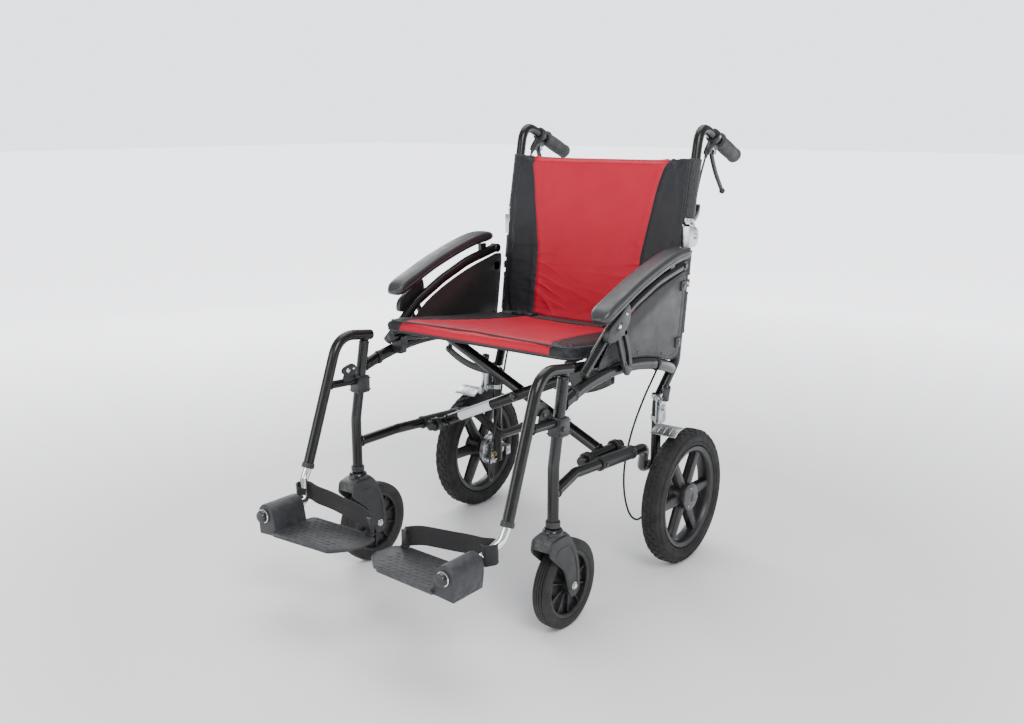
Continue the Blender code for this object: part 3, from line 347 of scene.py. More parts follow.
class Piece:
    """One visible piece, standing for a CAD node unless it is extra. Shapes are added in the row frame."""

    def __init__(self, node, material, extra=False):
        self.node, self.extra = node, extra
        self.mesh = bmesh.new()
        self.used = []
        self.paint(material)

    def paint(self, material):
        if material not in self.used:
            self.used.append(material)
        self.index = self.used.index(material)
        return self

    def take(self, other):
        """Adds a bmesh, in the current material."""
        for face in other.faces:
            face.material_index = self.index
        data = bpy.data.meshes.new("part")
        other.to_mesh(data)
        other.free()
        self.mesh.from_mesh(data)
        bpy.data.meshes.remove(data)
        return self

    def sweep(self, path, section, up=None, closed=False, scale=None):
        """Carries a section along the path. Its second axis stays nearest to up."""
        path = [Vector(p) for p in path]
        mesh = bmesh.new()
        count = len(path)
        normal = None
        rows = []
        for i, point in enumerate(path):
            ahead = path[(i + 1) % count] if closed else path[min(i + 1, count - 1)]
            behind = path[i - 1] if closed or i else path[0]
            along = (ahead - behind).normalized()
            if up is not None:
                lift = up(i / (count - 1)) if callable(up) else Vector(up)
            elif normal is None:
                lift = along.orthogonal()
            else:
                lift = normal
            normal = (lift - along * lift.dot(along)).normalized()
            across = along.cross(normal)
            size = scale(i / (count - 1)) if scale else 1.0
            size = size if isinstance(size, tuple) else (size, size)
            rows.append(
                [mesh.verts.new(point + across * (u * size[0]) + normal * (v * size[1])) for u, v in section]
            )
        width = len(section)
        pairs = list(zip(rows, rows[1:])) + ([(rows[-1], rows[0])] if closed else [])
        for first, second in pairs:
            for k in range(width):
                m = (k + 1) % width
                mesh.faces.new((first[k], first[m], second[m], second[k]))
        if not closed:
            mesh.faces.new(rows[0][::-1])
            mesh.faces.new(rows[-1])
        bmesh.ops.recalc_face_normals(mesh, faces=mesh.faces)
        return self.take(mesh)

    def tube(self, points, radius, bend=0.04, sides=20, steps=8, **more):
        return self.sweep(rounded(points, bend, steps), ring(radius, sides), **more)

    def lathe(self, profile, centre, axis=(1, 0, 0), steps=40, closed=True):
        """Spins a (radius, height) profile about the axis through centre."""
        mesh = bmesh.new()
        turn = Vector(axis).to_track_quat("Z", "Y").to_matrix().to_4x4()
        rows = []
        for i in range(steps):
            a = 2 * math.pi * i / steps
            rows.append(
                [
                    mesh.verts.new((r * math.cos(a), r * math.sin(a), h)) if r > 1e-6 else None
                    for r, h in profile
                ]
            )
        poles = {k: mesh.verts.new((0, 0, h)) for k, (r, h) in enumerate(profile) if r <= 1e-6}
        count = len(profile)
        for i in range(steps):
            first, second = rows[i], rows[(i + 1) % steps]
            for k in range(count if closed else count - 1):
                m = (k + 1) % count
                corners = [first[k], first[m], second[m], second[k]]
                corners = [v or poles[k if j in (0, 3) else m] for j, v in enumerate(corners)]
                corners = list(dict.fromkeys(corners))
                if len(corners) > 2:
                    mesh.faces.new(corners)
        bmesh.ops.recalc_face_normals(mesh, faces=mesh.faces)
        mesh.transform(Matrix.Translation(centre) @ turn)
        return self.take(mesh)

    def rod(self, start, end, radius, sides=24, chamfer=0.0008):
        """A turned pin with chamfered ends."""
        start, end = Vector(start), Vector(end)
        length = (end - start).length
        c = min(chamfer, radius * 0.4, length * 0.4)
        profile = [
            (0, 0), (radius - c, 0), (radius, c), (radius, length - c), (radius - c, length),
            (0, length),
        ]
        return self.lathe(profile, start, end - start, sides, closed=False)

    def box(self, low, high, bevel=0.001, turn=None):
        low, high = Vector(low), Vector(high)
        mesh = bmesh.new()
        bmesh.ops.create_cube(mesh, size=1)
        size = [abs(high[i] - low[i]) for i in range(3)]
        for vert in mesh.verts:
            vert.co = Vector(vert.co[i] * size[i] for i in range(3))
        if bevel:
            bmesh.ops.bevel(mesh, geom=mesh.edges[:], offset=bevel, segments=2, affect="EDGES", profile=0.5)
        mesh.transform(Matrix.Translation((low + high) / 2))
        if turn:
            mesh.transform(turn)
        return self.take(mesh)

    def slab(self, outline, thickness, bevel=0.0, segments=2):
        """A closed ring of points carried along the thickness vector, its rims bevelled."""
        mesh = bmesh.new()
        face = mesh.faces.new([mesh.verts.new(p) for p in outline])
        moved = bmesh.ops.extrude_face_region(mesh, geom=[face])["geom"]
        verts = [g for g in moved if isinstance(g, bmesh.types.BMVert)]
        bmesh.ops.translate(mesh, vec=Vector(thickness), verts=verts)
        bmesh.ops.recalc_face_normals(mesh, faces=mesh.faces)
        if bevel:
            along = Vector(thickness).normalized()
            rims = [
                e for e in mesh.edges if abs((e.verts[0].co - e.verts[1].co).normalized().dot(along)) < 0.5
            ]
            bmesh.ops.bevel(mesh, geom=rims, offset=bevel, segments=segments, affect="EDGES", profile=0.5)
        return self.take(mesh)

    def side_plate(self, outline, x_low, x_high, bevel=0.0008, sign=1, curve=0):
        """A plate in the YZ plane, from outline points (y, z)."""
        points = [Vector((sign * x_low, y, z)) for y, z in outline]
        if curve:
            points = smooth_path(points, curve, closed=True)
        return self.slab(points, (sign * (x_high - x_low), 0, 0), bevel)

    def bolt(self, place, axis, radius, height):
        """A hexagon head on its washer, standing out along the axis."""
        place, axis = Vector(place), Vector(axis).normalized()
        base = place + axis * WASHER
        self.rod(place, base, radius * 1.35, 20, 0.0002)
        profile = [(0, 0), (radius, 0), (radius, height * 0.8), (radius * 0.85, height), (0, height)]
        return self.lathe(profile, base, axis, 6, closed=False)

    def dome(self, place, axis, radius, height):
        """A round button head."""
        profile = [(0, 0), (radius, 0)]
        profile += [(radius * math.cos(a), height * math.sin(a)) for a in (0.25, 0.6, 0.95, 1.25)]
        return self.lathe(profile + [(0, height)], place, axis, 24, closed=False)

    def bead(self, place, axis, radius, thick=0.0016):
        """A weld bead or lip round a tube."""
        profile = [(radius + u, v) for u, v in ring(thick, 8)]
        return self.lathe(profile, place, axis, 28)

    def spring(self, start, end, radius, wire, turns):
        start, end = Vector(start), Vector(end)
        axis = (end - start).normalized()
        across = axis.orthogonal()
        other = axis.cross(across)
        steps = int(turns * 14)
        path = []
        for i in range(steps + 1):
            a = i * turns * 2 * math.pi / steps
            path.append(start.lerp(end, i / steps) + (across * math.cos(a) + other * math.sin(a)) * radius)
        return self.sweep(path, ring(wire, 6))

    def object(self, sharp=38):
        name = self.node if self.extra else self.node + "_look"
        data = bpy.data.meshes.new(name)
        bmesh.ops.remove_doubles(self.mesh, verts=self.mesh.verts, dist=1e-6)
        self.mesh.to_mesh(data)
        self.mesh.free()
        for material in self.used:
            data.materials.append(MATERIALS[material])
        obj = bpy.data.objects.new(name, data)
        bpy.context.scene.collection.objects.link(obj)
        data.shade_smooth()
        data.set_sharp_from_angle(angle=math.radians(sharp))
        return obj

    def stand(self, slot=None, sharp=38):
        """The object, in place of its node."""
        obj = self.object(sharp)
        if not self.extra:
            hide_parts(self.node)
        slot or SLOTS[self.used[0]]
        return obj

    def ride(self, body=None, slot=None, sharp=38):
        """Stands for its node and rides on the body, which is named like the node if none is given."""
        obj = self.stand(slot, sharp)
        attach(obj, body or self.node)
        return obj


def apply_modifiers(obj):
    bpy.context.view_layer.update()
    graph = bpy.context.evaluated_depsgraph_get()
    data = bpy.data.meshes.new_from_object(obj.evaluated_get(graph))
    obj.modifiers.clear()
    obj.data = data


# The record's material slot of each material that comes first on a piece.
SLOTS = {
    "paint": "frame_paint",
    "plastic": "black_plastic",
    "fork": "black_plastic",
    "gloss": "black_plastic",
    "plate": "plate_plastic",
    "panel": "panel_plastic",
    "hub": "hub_plastic",
    "pad": "pad_foam",
    "zinc": "zinc",
    "chrome": "polished_tube",
    "tyre": "tyre_rubber",
    "castor": "castor_rubber",
    "grip": "grip_rubber",
    "nylon": "red_nylon",
    "charcoal": "red_nylon",
    "webbing": "black_webbing",
    "spacer": "red_nylon",
    "sheath": "cable_sheath",
}

# ---------------------------------------------------------------- sizes shared with the CAD

POST_X, POST_Y = 0.2595, -0.2305
RAIL_X, LOWER_RAIL_X, LEVER_X = 0.2555, 0.24, 0.2015
REAR_POST_X, REAR_POST_Y, BACK_X = 0.224, 0.2155, 0.2385
TUBE_R = 0.011
REAR_R, REAR_X, REAR_Y, RIM_R = 0.1505, 0.2905, 0.2235, 0.112
CASTOR_R, CASTOR_HALF, CASTOR_Y = 0.0885, 0.0173, -0.1905
PIVOT_X, PIVOT_Z, RAIL_END_X = 0.205, 0.285, 0.2345
SLOPE = 0.459613  # rise of a cross brace for each metre across
CROSS_Z = PIVOT_Z + SLOPE * PIVOT_X
BRACE_R, SEAT_RAIL_R = 0.012, 0.0095
HINGE = (0.313, 0.712)  # y and z of the folding back's pin
ARM_PIVOT = (0.2555, 0.247, 0.6565)
FOOT_X, FOOT_Z, PLATE_TOP = 0.2315, 0.208, 0.181
BRAKE_LEVER = (0.237, 0.401, 0.889)
PARK = (0.197, 0.35)
PAD_X, PAD_HALF = 0.267, 0.0232
HANDLE_X, CABLE_R = 0.237, 0.0023
LINK_TOP, LINK_Y, LINK_END_X = (0.228, 0.4445), {"left": 0.0127, "right": 0.0377}, 0.0773


def arch_z(y):
    return 0.478 - 0.8 * (y + 0.005) ** 2


def seat_z(y, above=0.0):
    return 0.487 - 0.106 * y + above


def post_path(s):
    return [at(s, POST_X, POST_Y, 0.2165), at(s, POST_X, POST_Y, 0.335), at(s, POST_X - 0.001, -0.1995, 0.5)]


def rear_post_path(s):
    upper = [at(s, BACK_X, 0.264, 0.44), at(s, BACK_X, 0.2965, 0.699)]
    return [at(s, REAR_POST_X, REAR_POST_Y, 0.13), at(s, REAR_POST_X, REAR_POST_Y, 0.36), *upper]


def on_post(s, z):
    low, high = rear_post_path(s)[2:]
    return low.lerp(high, (z - low.z) / (high.z - low.z))


def handle_path(s):
    return [at(s, HANDLE_X, 0.2995, 0.7385), at(s, HANDLE_X, 0.3396, 0.9514), at(s, HANDLE_X, 0.4265, 0.9155)]


def on_handle(s, z):
    low, high = handle_path(s)[:2]
    return low.lerp(high, (z - low.z) / (high.z - low.z))


def armrest_path(s):
    points = [(-0.132, 0.4894), (-0.035, 0.564), (0.05, 0.6035), (0.14, 0.6355), (0.247, 0.6565)]
    return rounded([at(s, RAIL_X, y, z) for y, z in points], [0.1, 0.25, 0.35])


def beside(s, low, high, y0, z0, y1, z1):
    """Opposite corners of a box between two distances from the middle plane."""
    return at(s, low, y0, z0), at(s, high, y1, z1)


# ---------------------------------------------------------------- side frames


def side_frame(side, s):
    body = "side_" + side
    p = Piece(f"front_post_{side}", "paint")
    p.tube(post_path(s), TUBE_R, 0.1, 28)
    p.bead(at(s, POST_X - 0.001, -0.2, 0.4975), (0, 0.18, 1), TUBE_R - 0.0004, 0.0012)
    p.bead(at(s, POST_X, POST_Y + 0.0004, 0.2815), (0, 0.02, 1), TUBE_R - 0.0006, 0.001)
    p.bead(at(s, POST_X, POST_Y + 0.0004, 0.27), (0, 0.02, 1), TUBE_R - 0.0008, 0.001)
    p.bead(at(s, POST_X, POST_Y + 0.0004, 0.293), (0, 0.02, 1), TUBE_R - 0.0008, 0.001)
    p.paint("plastic").rod(at(s, POST_X, POST_Y, 0.2165), at(s, POST_X, POST_Y, 0.229), 0.0142, 32, 0.0012)
    p.dome(at(s, POST_X - 0.001, -0.1996, 0.499), (0, 0.18, 1), 0.0112, 0.004)
    p.ride(body)

    p = Piece(f"rear_post_{side}", "paint")
    p.tube(rear_post_path(s), TUBE_R, 0.05, 28)
    p.paint("plastic").rod(
        at(s, REAR_POST_X, REAR_POST_Y, 0.128), at(s, REAR_POST_X, REAR_POST_Y, 0.134), 0.0118,
    )
    p.paint("zinc")
    lug = [
        (0.286, 0.69), (0.313, 0.69), (0.325, 0.699), (0.326, 0.712), (0.324, 0.724), (0.313, 0.733),
        (0.286, 0.736),
    ]
    for inner in (BACK_X - 0.013, BACK_X + 0.01):
        p.side_plate(lug, inner, inner + 0.003, 0.0006, s)
    p.box(*beside(s, BACK_X - 0.013, BACK_X + 0.013, 0.2832, 0.69, 0.2868, 0.736), 0.0008)
    p.rod(at(s, BACK_X - 0.014, *HINGE), at(s, BACK_X + 0.015, *HINGE), 0.0038, 20)
    p.bolt(at(s, BACK_X + 0.013, *HINGE), (s, 0, 0), 0.0062, 0.0035)
    p.bolt(at(s, BACK_X - 0.013, *HINGE), (-s, 0, 0), 0.0062, 0.0035)
    p.bead(on_post(s, 0.6915), on_post(s, 0.7) - on_post(s, 0.69), TUBE_R, 0.0014)
    collar = on_post(s, 0.613)
    lean = (on_post(s, 0.7) - on_post(s, 0.6)).normalized()
    p.paint("plastic").lathe(
        mirrored([(TUBE_R, -0.0085), (0.0146, -0.0085), (0.0152, -0.0065)]), collar, lean, 36,
    )
    p.paint("brass").dome(collar + Vector((s * 0.0148, -0.003, 0)), (s, -0.2, 0), 0.0046, 0.0022)
    p.ride(body)

    ys = [-0.203 + 0.0177 * i for i in range(20)]
    path = [at(s, RAIL_X + 0.003 * max(0, -y - 0.13) / 0.1, y, arch_z(y)) for y in ys]
    path += [at(s, 0.2515, 0.182, arch_z(0.182)), at(s, 0.244, 0.231, arch_z(0.231))]
    path.append(at(s, 0.2365, 0.254, arch_z(0.254)))
    p = Piece(f"seat_side_rail_{side}", "paint")
    p.sweep(smooth_path(path, 3), ring(0.0095, 28, 0.013), up=(0, 0, 1))
    for y in (-0.1965, 0.248):
        end = at(s, 0.2585 if y < 0 else 0.2385, y, arch_z(y))
        loop = [end + Vector((u, 0, v)) for u, v in ring(0.0098, 28, 0.0133)]
        p.sweep(loop, ring(0.0014, 8), closed=True)
    start = LINK_Y[side] + 0.0045
    p.paint("plastic")
    for y in (-0.125, start):
        half = [
            (0.22, seat_z(y, -0.0155)), (0.2245, 0.463), (0.25, 0.463), (0.25, 0.478),
            (0.247, seat_z(y, 0.0015)), (0.2445, seat_z(y, -0.0035)), (0.2345, seat_z(y, -0.0108)),
            (0.225, seat_z(y, -0.0045)), (0.2205, seat_z(y, 0.0005)),
        ]
        p.slab([at(s, x, y, z) for x, z in half], (0, 0.02, 0), 0.0009)
        p.dome(at(s, 0.2215, y + 0.01, seat_z(y, -0.01)), (-s, 0, 0), 0.0035, 0.0015)
    p.paint("paint")
    p.box(*beside(s, 0.223, 0.233, start + 0.001, 0.438, start + 0.005, 0.472), 0.0008)
    p.paint("gloss")
    p.rod(
        at(s, LINK_TOP[0], start - 0.0058, LINK_TOP[1]), at(s, LINK_TOP[0], start + 0.0066, LINK_TOP[1]),
        0.0036,
    )
    p.bolt(at(s, LINK_TOP[0], start - 0.0046, LINK_TOP[1]), (0, -1, 0), 0.0056, 0.0028)
    p.paint("plastic")
    for y in (-0.162, 0.15):
        loop = [at(s, RAIL_X, y, arch_z(y)) + Vector((u, 0, v)) for u, v in ring(0.0104, 28, 0.0139)]
        p.sweep(loop, [(u, v * 5) for u, v in ring(0.0011, 10)], up=(0, 1, 0), closed=True)
        p.paint("gloss").dome(at(s, RAIL_X + 0.011, y, arch_z(y)), (s, 0, 0), 0.0042, 0.002)
        p.paint("plastic")
    p.ride(body)

    line = [
        at(s, POST_X, POST_Y, 0.2815), at(s, LOWER_RAIL_X, -0.13, 0.2905),
        at(s, LOWER_RAIL_X, 0.14, 0.2735), at(s, LEVER_X, 0.196, 0.203), at(s, LEVER_X, 0.3, 0.199),
    ]
    p = Piece(f"lower_rail_{side}", "paint")
    p.tube(line, TUBE_R, [0.03, 0.05, 0.035], 28)
    ahead = (line[1] - line[0]).normalized()
    p.bead(line[0] + ahead * 0.0118, ahead, TUBE_R + 0.0002, 0.0018)
    low, high = at(s, LOWER_RAIL_X, -0.045, 0.2851), at(s, LOWER_RAIL_X, 0.085, 0.277)
    along = (high - low).normalized()
    span = (high - low).length
    sleeve = [
        (TUBE_R, 0), (0.0142, 0), (0.015, 0.0015), (0.015, 0.004), (0.0138, 0.0055),
        (0.0138, span - 0.0055), (0.015, span - 0.004), (0.015, span - 0.0015), (0.0142, span),
        (TUBE_R, span),
    ]
    p.paint("plastic").lathe(sleeve, low, along, 36)
    for y in (-0.035, 0.072):
        p.paint("plastic")
        p.box(*beside(s, PIVOT_X + 0.0128, LOWER_RAIL_X, y - 0.006, 0.2775, y + 0.006, 0.2905), 0.0015)
        cuff = mirrored([(0.0116, -0.007), (0.0148, -0.007), (0.0156, -0.0055), (0.015, -0.004)])
        p.lathe(cuff, at(s, PIVOT_X, y, PIVOT_Z), (0, 1, 0), 36)
        p.paint("gloss").bolt(at(s, LOWER_RAIL_X + 0.013, y, 0.2835), (s, 0, 0), 0.0045, 0.003)
    p.paint("tyre")
    tip = [(0, 0), (0.0118, 0), (0.0128, 0.001)]
    for i in range(4):
        tip += [(0.013, 0.003 + 0.004 * i), (0.012, 0.0042 + 0.004 * i), (0.012, 0.0052 + 0.004 * i)]
    tip += [(0.0128, 0.0185), (0.0115, 0.0205), (0, 0.021)]
    p.lathe(tip, at(s, LEVER_X, 0.2855, 0.1995), (0, 1, -0.035), 32, closed=False)
    p.ride(body)


def side_panel(side, s):
    bottom = [(y, arch_z(y) + 0.0142) for y in (-0.08, -0.02, 0.05, 0.11, 0.16, 0.205)]
    rear = [(0.24, 0.46), (0.2535, 0.485), (0.272, 0.622)]
    top = [(0.262, 0.642), (0.225, 0.636), (0.14, 0.615), (0.05, 0.583), (-0.02, 0.546)]
    outline = bottom + rear + top
    p = Piece(f"side_panel_{side}", "panel")
    p.side_plate(outline, RAIL_X - 0.0015, RAIL_X + 0.0013, 0.0005, s, 3)
    centre = Vector((0.1, 0.555))
    edge = [Vector(c) for c in outline]
    for shrink, x, thick in ((0.985, RAIL_X + 0.001, 0.0013), (0.9, RAIL_X + 0.0008, 0.001)):
        loop = smooth_path([at(s, x, *(centre + (c - centre) * shrink)) for c in edge], 5, closed=True)
        p.sweep(loop, ring(thick, 8), closed=True)
    for y, z in ((0.26, 0.612), (0.243, 0.49)):
        p.paint("plastic")
        p.box(
            *beside(s, RAIL_X - 0.0015, RAIL_X + 0.0042, y - 0.017, z - 0.011, y + 0.004, z + 0.011),
            0.0014,
        )
        p.paint("gloss").dome(at(s, RAIL_X + 0.0042, y - 0.008, z), (s, 0, 0), 0.0048, 0.0022)
    for y in (-0.035, 0.07, 0.17):
        p.paint("gloss").dome(at(s, RAIL_X + 0.0013, y, arch_z(y) + 0.023), (s, 0, 0), 0.0036, 0.0016)
    p.ride("side_" + side)


def hub_brake(side, s):
    p = Piece(f"hub_brake_{side}", "zinc")
    drum = [
        (0, 0.0085), (0.033, 0.0085), (0.0355, 0.0075), (0.0385, 0.0045), (0.0385, -0.006),
        (0.037, -0.0095), (0.03, -0.0098), (0.0285, -0.008), (0.018, -0.008), (0.0165, -0.011),
        (0, -0.011),
    ]
    p.lathe(drum, at(s, 0.2525, REAR_Y, REAR_R), (s, 0, 0), 56, closed=False)
    p.rod(at(s, 0.238, REAR_Y, REAR_R), at(s, 0.3175, REAR_Y, REAR_R), 0.006)
    p.bolt(at(s, 0.2412, REAR_Y, REAR_R), (-s, 0, 0), 0.0095, 0.006)
    plate = [
        (0.176, 0.136), (0.188, 0.13), (0.245, 0.13), (0.262, 0.139), (0.262, 0.16), (0.246, 0.171),
        (0.196, 0.171), (0.18, 0.164),
    ]
    p.side_plate(plate, 0.24, 0.2436, 0.0008, s)
    p.box(*beside(s, 0.212, 0.243, 0.182, 0.1355, 0.199, 0.139), 0.0008)
    p.box(*beside(s, 0.209, 0.243, 0.233, 0.16, 0.249, 0.164), 0.0008)
    p.box(*beside(s, 0.209, 0.2125, 0.233, 0.14, 0.249, 0.164), 0.0008)
    p.bolt(at(s, 0.2105, 0.241, 0.15), (-s, 0, 0), 0.0048, 0.0032)
    p.bolt(at(s, 0.24, 0.189, 0.16), (-s, 0, 0), 0.0042, 0.003)
    p.bolt(at(s, 0.24, 0.254, 0.146), (-s, 0, 0), 0.0042, 0.003)
    p.rod(at(s, 0.2195, 0.1905, 0.129), at(s, 0.2195, 0.1905, 0.144), 0.0034, 18)
    p.paint("brass").spring(at(s, 0.223, 0.193, 0.144), at(s, 0.223, 0.233, 0.156), 0.0036, 0.0006, 12)
    p.ride("side_" + side)


# ---------------------------------------------------------------- wheels


def wheel_turn(centre, angle):
    return Matrix.Translation(centre) @ Matrix.Rotation(angle, 4, "X")


def rear_wheel(side, s):
    centre = at(s, REAR_X, REAR_Y, REAR_R)
    p = Piece(f"rear_wheel_{side}", "hub")
    lip = [(0.1005, 0.012), (0.104, 0.0165), (0.11, 0.0178), (0.113, 0.0192), (0.1142, 0.018)]
    rim = mirrored(lip + [(RIM_R + 0.003, 0.014)], [(RIM_R - 0.004, 0)])
    p.lathe(rim + [(0.099, 0)], centre, (s, 0, 0), 96)
    hub = [
        (0.0066, 0.0215), (0.0225, 0.0215), (0.026, 0.0195), (0.029, 0.012), (0.029, -0.012),
        (0.027, -0.02), (0.024, -0.0212), (0.0066, -0.0212),
    ]
    p.lathe(hub, centre, (s, 0, 0), 64)
    spokes = ((0.024, 0.104, 0.0115, 0.0082, 0.0105), (0.09, 0.1045, 0.008, 0.015, 0.011))
    for i in range(6):
        turn = wheel_turn(centre, math.pi / 6 + i * math.pi / 3)
        for start, end, root, tip, deep in spokes:
            path = [turn @ Vector((0, 0, start + (end - start) * k / 6)) for k in range(7)]
            half = mirrored([(0.5, 1), (1, 0.75), (0.45, 0.45)])
            section = half + [(-u, -v) for u, v in half]
            p.sweep(
                path, section, up=(1, 0, 0),
                scale=lambda t, a=root, b=tip, d=deep: (a + (b - a) * t * t, d),
            )
    p.paint("cap")
    cap = [(0, 0.0272), (0.012, 0.0272), (0.02, 0.0262), (0.0272, 0.024), (0.0298, 0.0222), (0.03, 0.019)]
    p.lathe(cap + [(0.027, 0.019), (0, 0.019)], centre, (s, 0, 0), 64, closed=False)
    button = [(0, 0.0288), (0.006, 0.0286), (0.0105, 0.0278), (0.0125, 0.0262), (0, 0.0262)]
    p.paint("gloss").lathe(button, centre, (s, 0, 0), 40, closed=False)
    p.paint("zinc")
    for i in range(3):
        spot = wheel_turn(centre, i * 2 * math.pi / 3 + 0.3) @ Vector((s * 0.0248, 0, 0.0225))
        p.dome(spot, (s, 0, 0), 0.0024, 0.001)
    valve = wheel_turn(centre, 0.95)
    p.paint("gloss").rod(
        valve @ Vector((s * 0.004, 0, 0.0995)), valve @ Vector((s * 0.01, 0, 0.08)), 0.0032, 14,
    )
    p.ride()

    p = Piece(f"rear_tyre_{side}", "tyre")
    wall = [
        (0.1148, 0.015), (0.1165, 0.0195), (0.1205, 0.0218), (0.127, 0.023), (0.1345, 0.0229),
        (0.1395, 0.0216), (0.144, 0.019), (0.1468, 0.014), (0.148, 0.007),
    ]
    section = mirrored(wall, [(0.1483, 0)]) + [(RIM_R - 0.0025, 0)]
    p.lathe(section, centre, (s, 0, 0), 120)
    for r in (0.1235, 0.1385):
        for h in (0.0224, -0.0224):
            p.lathe([(r + u, h + v) for u, v in ring(0.0009, 6)], centre, (s, 0, 0), 96)
    count = 42
    for i in range(count):
        angle = 2 * math.pi * i / count
        straight = wheel_turn(centre, angle)
        staggered = wheel_turn(centre, angle + math.pi / count)
        p.box((-0.0042, -0.0062, 0.1465), (0.0042, 0.0062, 0.1502), 0.0008, straight)
        for x in (-1, 1):
            p.box((x * 0.0058, -0.0068, 0.1455), (x * 0.0128, 0.0068, 0.1498), 0.0008, staggered)
            tilt = straight @ Matrix.Translation((x * 0.0172, 0, 0.1428)) @ Matrix.Rotation(x * 0.85, 4, "Y")
            p.box((-0.0034, -0.0058, -0.0022), (0.0034, 0.0058, 0.0026), 0.0007, tilt)
    p.ride("rear_wheel_" + side)


def castor(side, s):
    x = s * POST_X
    centre = Vector((x, CASTOR_Y, CASTOR_R))
    half = CASTOR_HALF
    p = Piece(f"castor_wheel_{side}", "castor")
    outer = [
        (0.0655, half * 0.8), (0.068, half * 0.96), (0.0735, half), (0.0795, half * 0.97),
        (0.0835, half * 0.86),
    ]
    crown = []
    for k in range(5):
        mid = half * (0.62 - 0.31 * k)
        top = CASTOR_R - 0.003 * (mid / half) ** 2
        crown += [(top, mid + 0.0022), (top, mid - 0.0018)]
        if k < 4:
            crown += [(top - 0.0022, mid - 0.0022), (top - 0.0022, mid - 0.003)]
    p.lathe(mirrored(outer, crown) + [(0.064, 0)], centre, (1, 0, 0), 96)
    p.paint("hub")
    felloe = [(0.06, 0.012), (0.064, 0.015), (0.0672, 0.015)]
    p.lathe(mirrored(felloe), centre, (1, 0, 0), 80)
    boss = [(0.0046, 0.018), (0.015, 0.018), (0.0175, 0.0165), (0.019, 0.01)]
    p.lathe(mirrored(boss), centre, (1, 0, 0), 48)
    p.lathe(mirrored([(0.017, 0.0032), (0.062, 0.0028)]), centre, (1, 0, 0), 80)
    for i in range(10):
        p.box(
            (-0.0098, -0.0016, 0.0165), (0.0098, 0.0016, 0.0625), 0.0006,
            wheel_turn(centre, i * math.pi / 5),
        )
    p.paint("cap").lathe(mirrored([(0.0075, 0.0184), (0.0125, 0.0184)]), centre, (1, 0, 0), 40)
    p.ride()

    p = Piece(f"castor_fork_{side}", "fork")
    y = POST_Y
    leg = [
        (y - 0.0365, 0.17), (y - 0.038, 0.183), (y - 0.031, 0.1975), (y + 0.001, 0.201),
        (y + 0.024, 0.196), (y + 0.045, 0.165), (y + 0.0575, 0.122), (y + 0.059, 0.085),
        (y + 0.052, 0.071), (y + 0.04, 0.0665), (y + 0.029, 0.07), (y + 0.022, 0.084),
        (y + 0.006, 0.128), (y - 0.018, 0.152),
    ]
    for turn in (1, -1):
        face = x + turn * 0.019
        points = smooth_path([Vector((face, *c)) for c in leg], 5, closed=True)
        p.slab(points, (turn * 0.005, 0, 0), 0.0016, 3)
        middle = Vector((y + 0.024, 0.125))
        inner = [Vector((x + turn * 0.0242, *((Vector(c) - middle) * 0.72 + middle))) for c in leg]
        p.sweep(smooth_path(inner, 5, closed=True), ring(0.0011, 8), closed=True)
    shell = [
        (y - 0.0375, 0.179), (y - 0.034, 0.199), (y - 0.018, 0.205), (y + 0.018, 0.205),
        (y + 0.031, 0.194), (y + 0.041, 0.18),
    ]
    p.slab([Vector((x - 0.02, *c)) for c in shell], (0.04, 0, 0), 0.003, 3)
    p.paint("gloss")
    cup = [
        (0, 0.2145), (0.014, 0.2145), (0.0168, 0.2138), (0.019, 0.2115), (0.0202, 0.2075),
        (0.0205, 0.203), (0, 0.203),
    ]
    p.lathe(cup, (x, y, 0), (0, 0, 1), 48, closed=False)
    p.paint("chrome").rod((x - 0.0262, CASTOR_Y, CASTOR_R), (x + 0.0262, CASTOR_Y, CASTOR_R), 0.004, 20)
    for turn in (1, -1):
        p.bolt((x + turn * 0.0238, CASTOR_Y, CASTOR_R), (turn, 0, 0), 0.0058, 0.003)
        p.dome((x + turn * 0.0262, CASTOR_Y, CASTOR_R), (turn, 0, 0), 0.004, 0.001)
    p.ride()


# ---------------------------------------------------------------- cross braces and their links


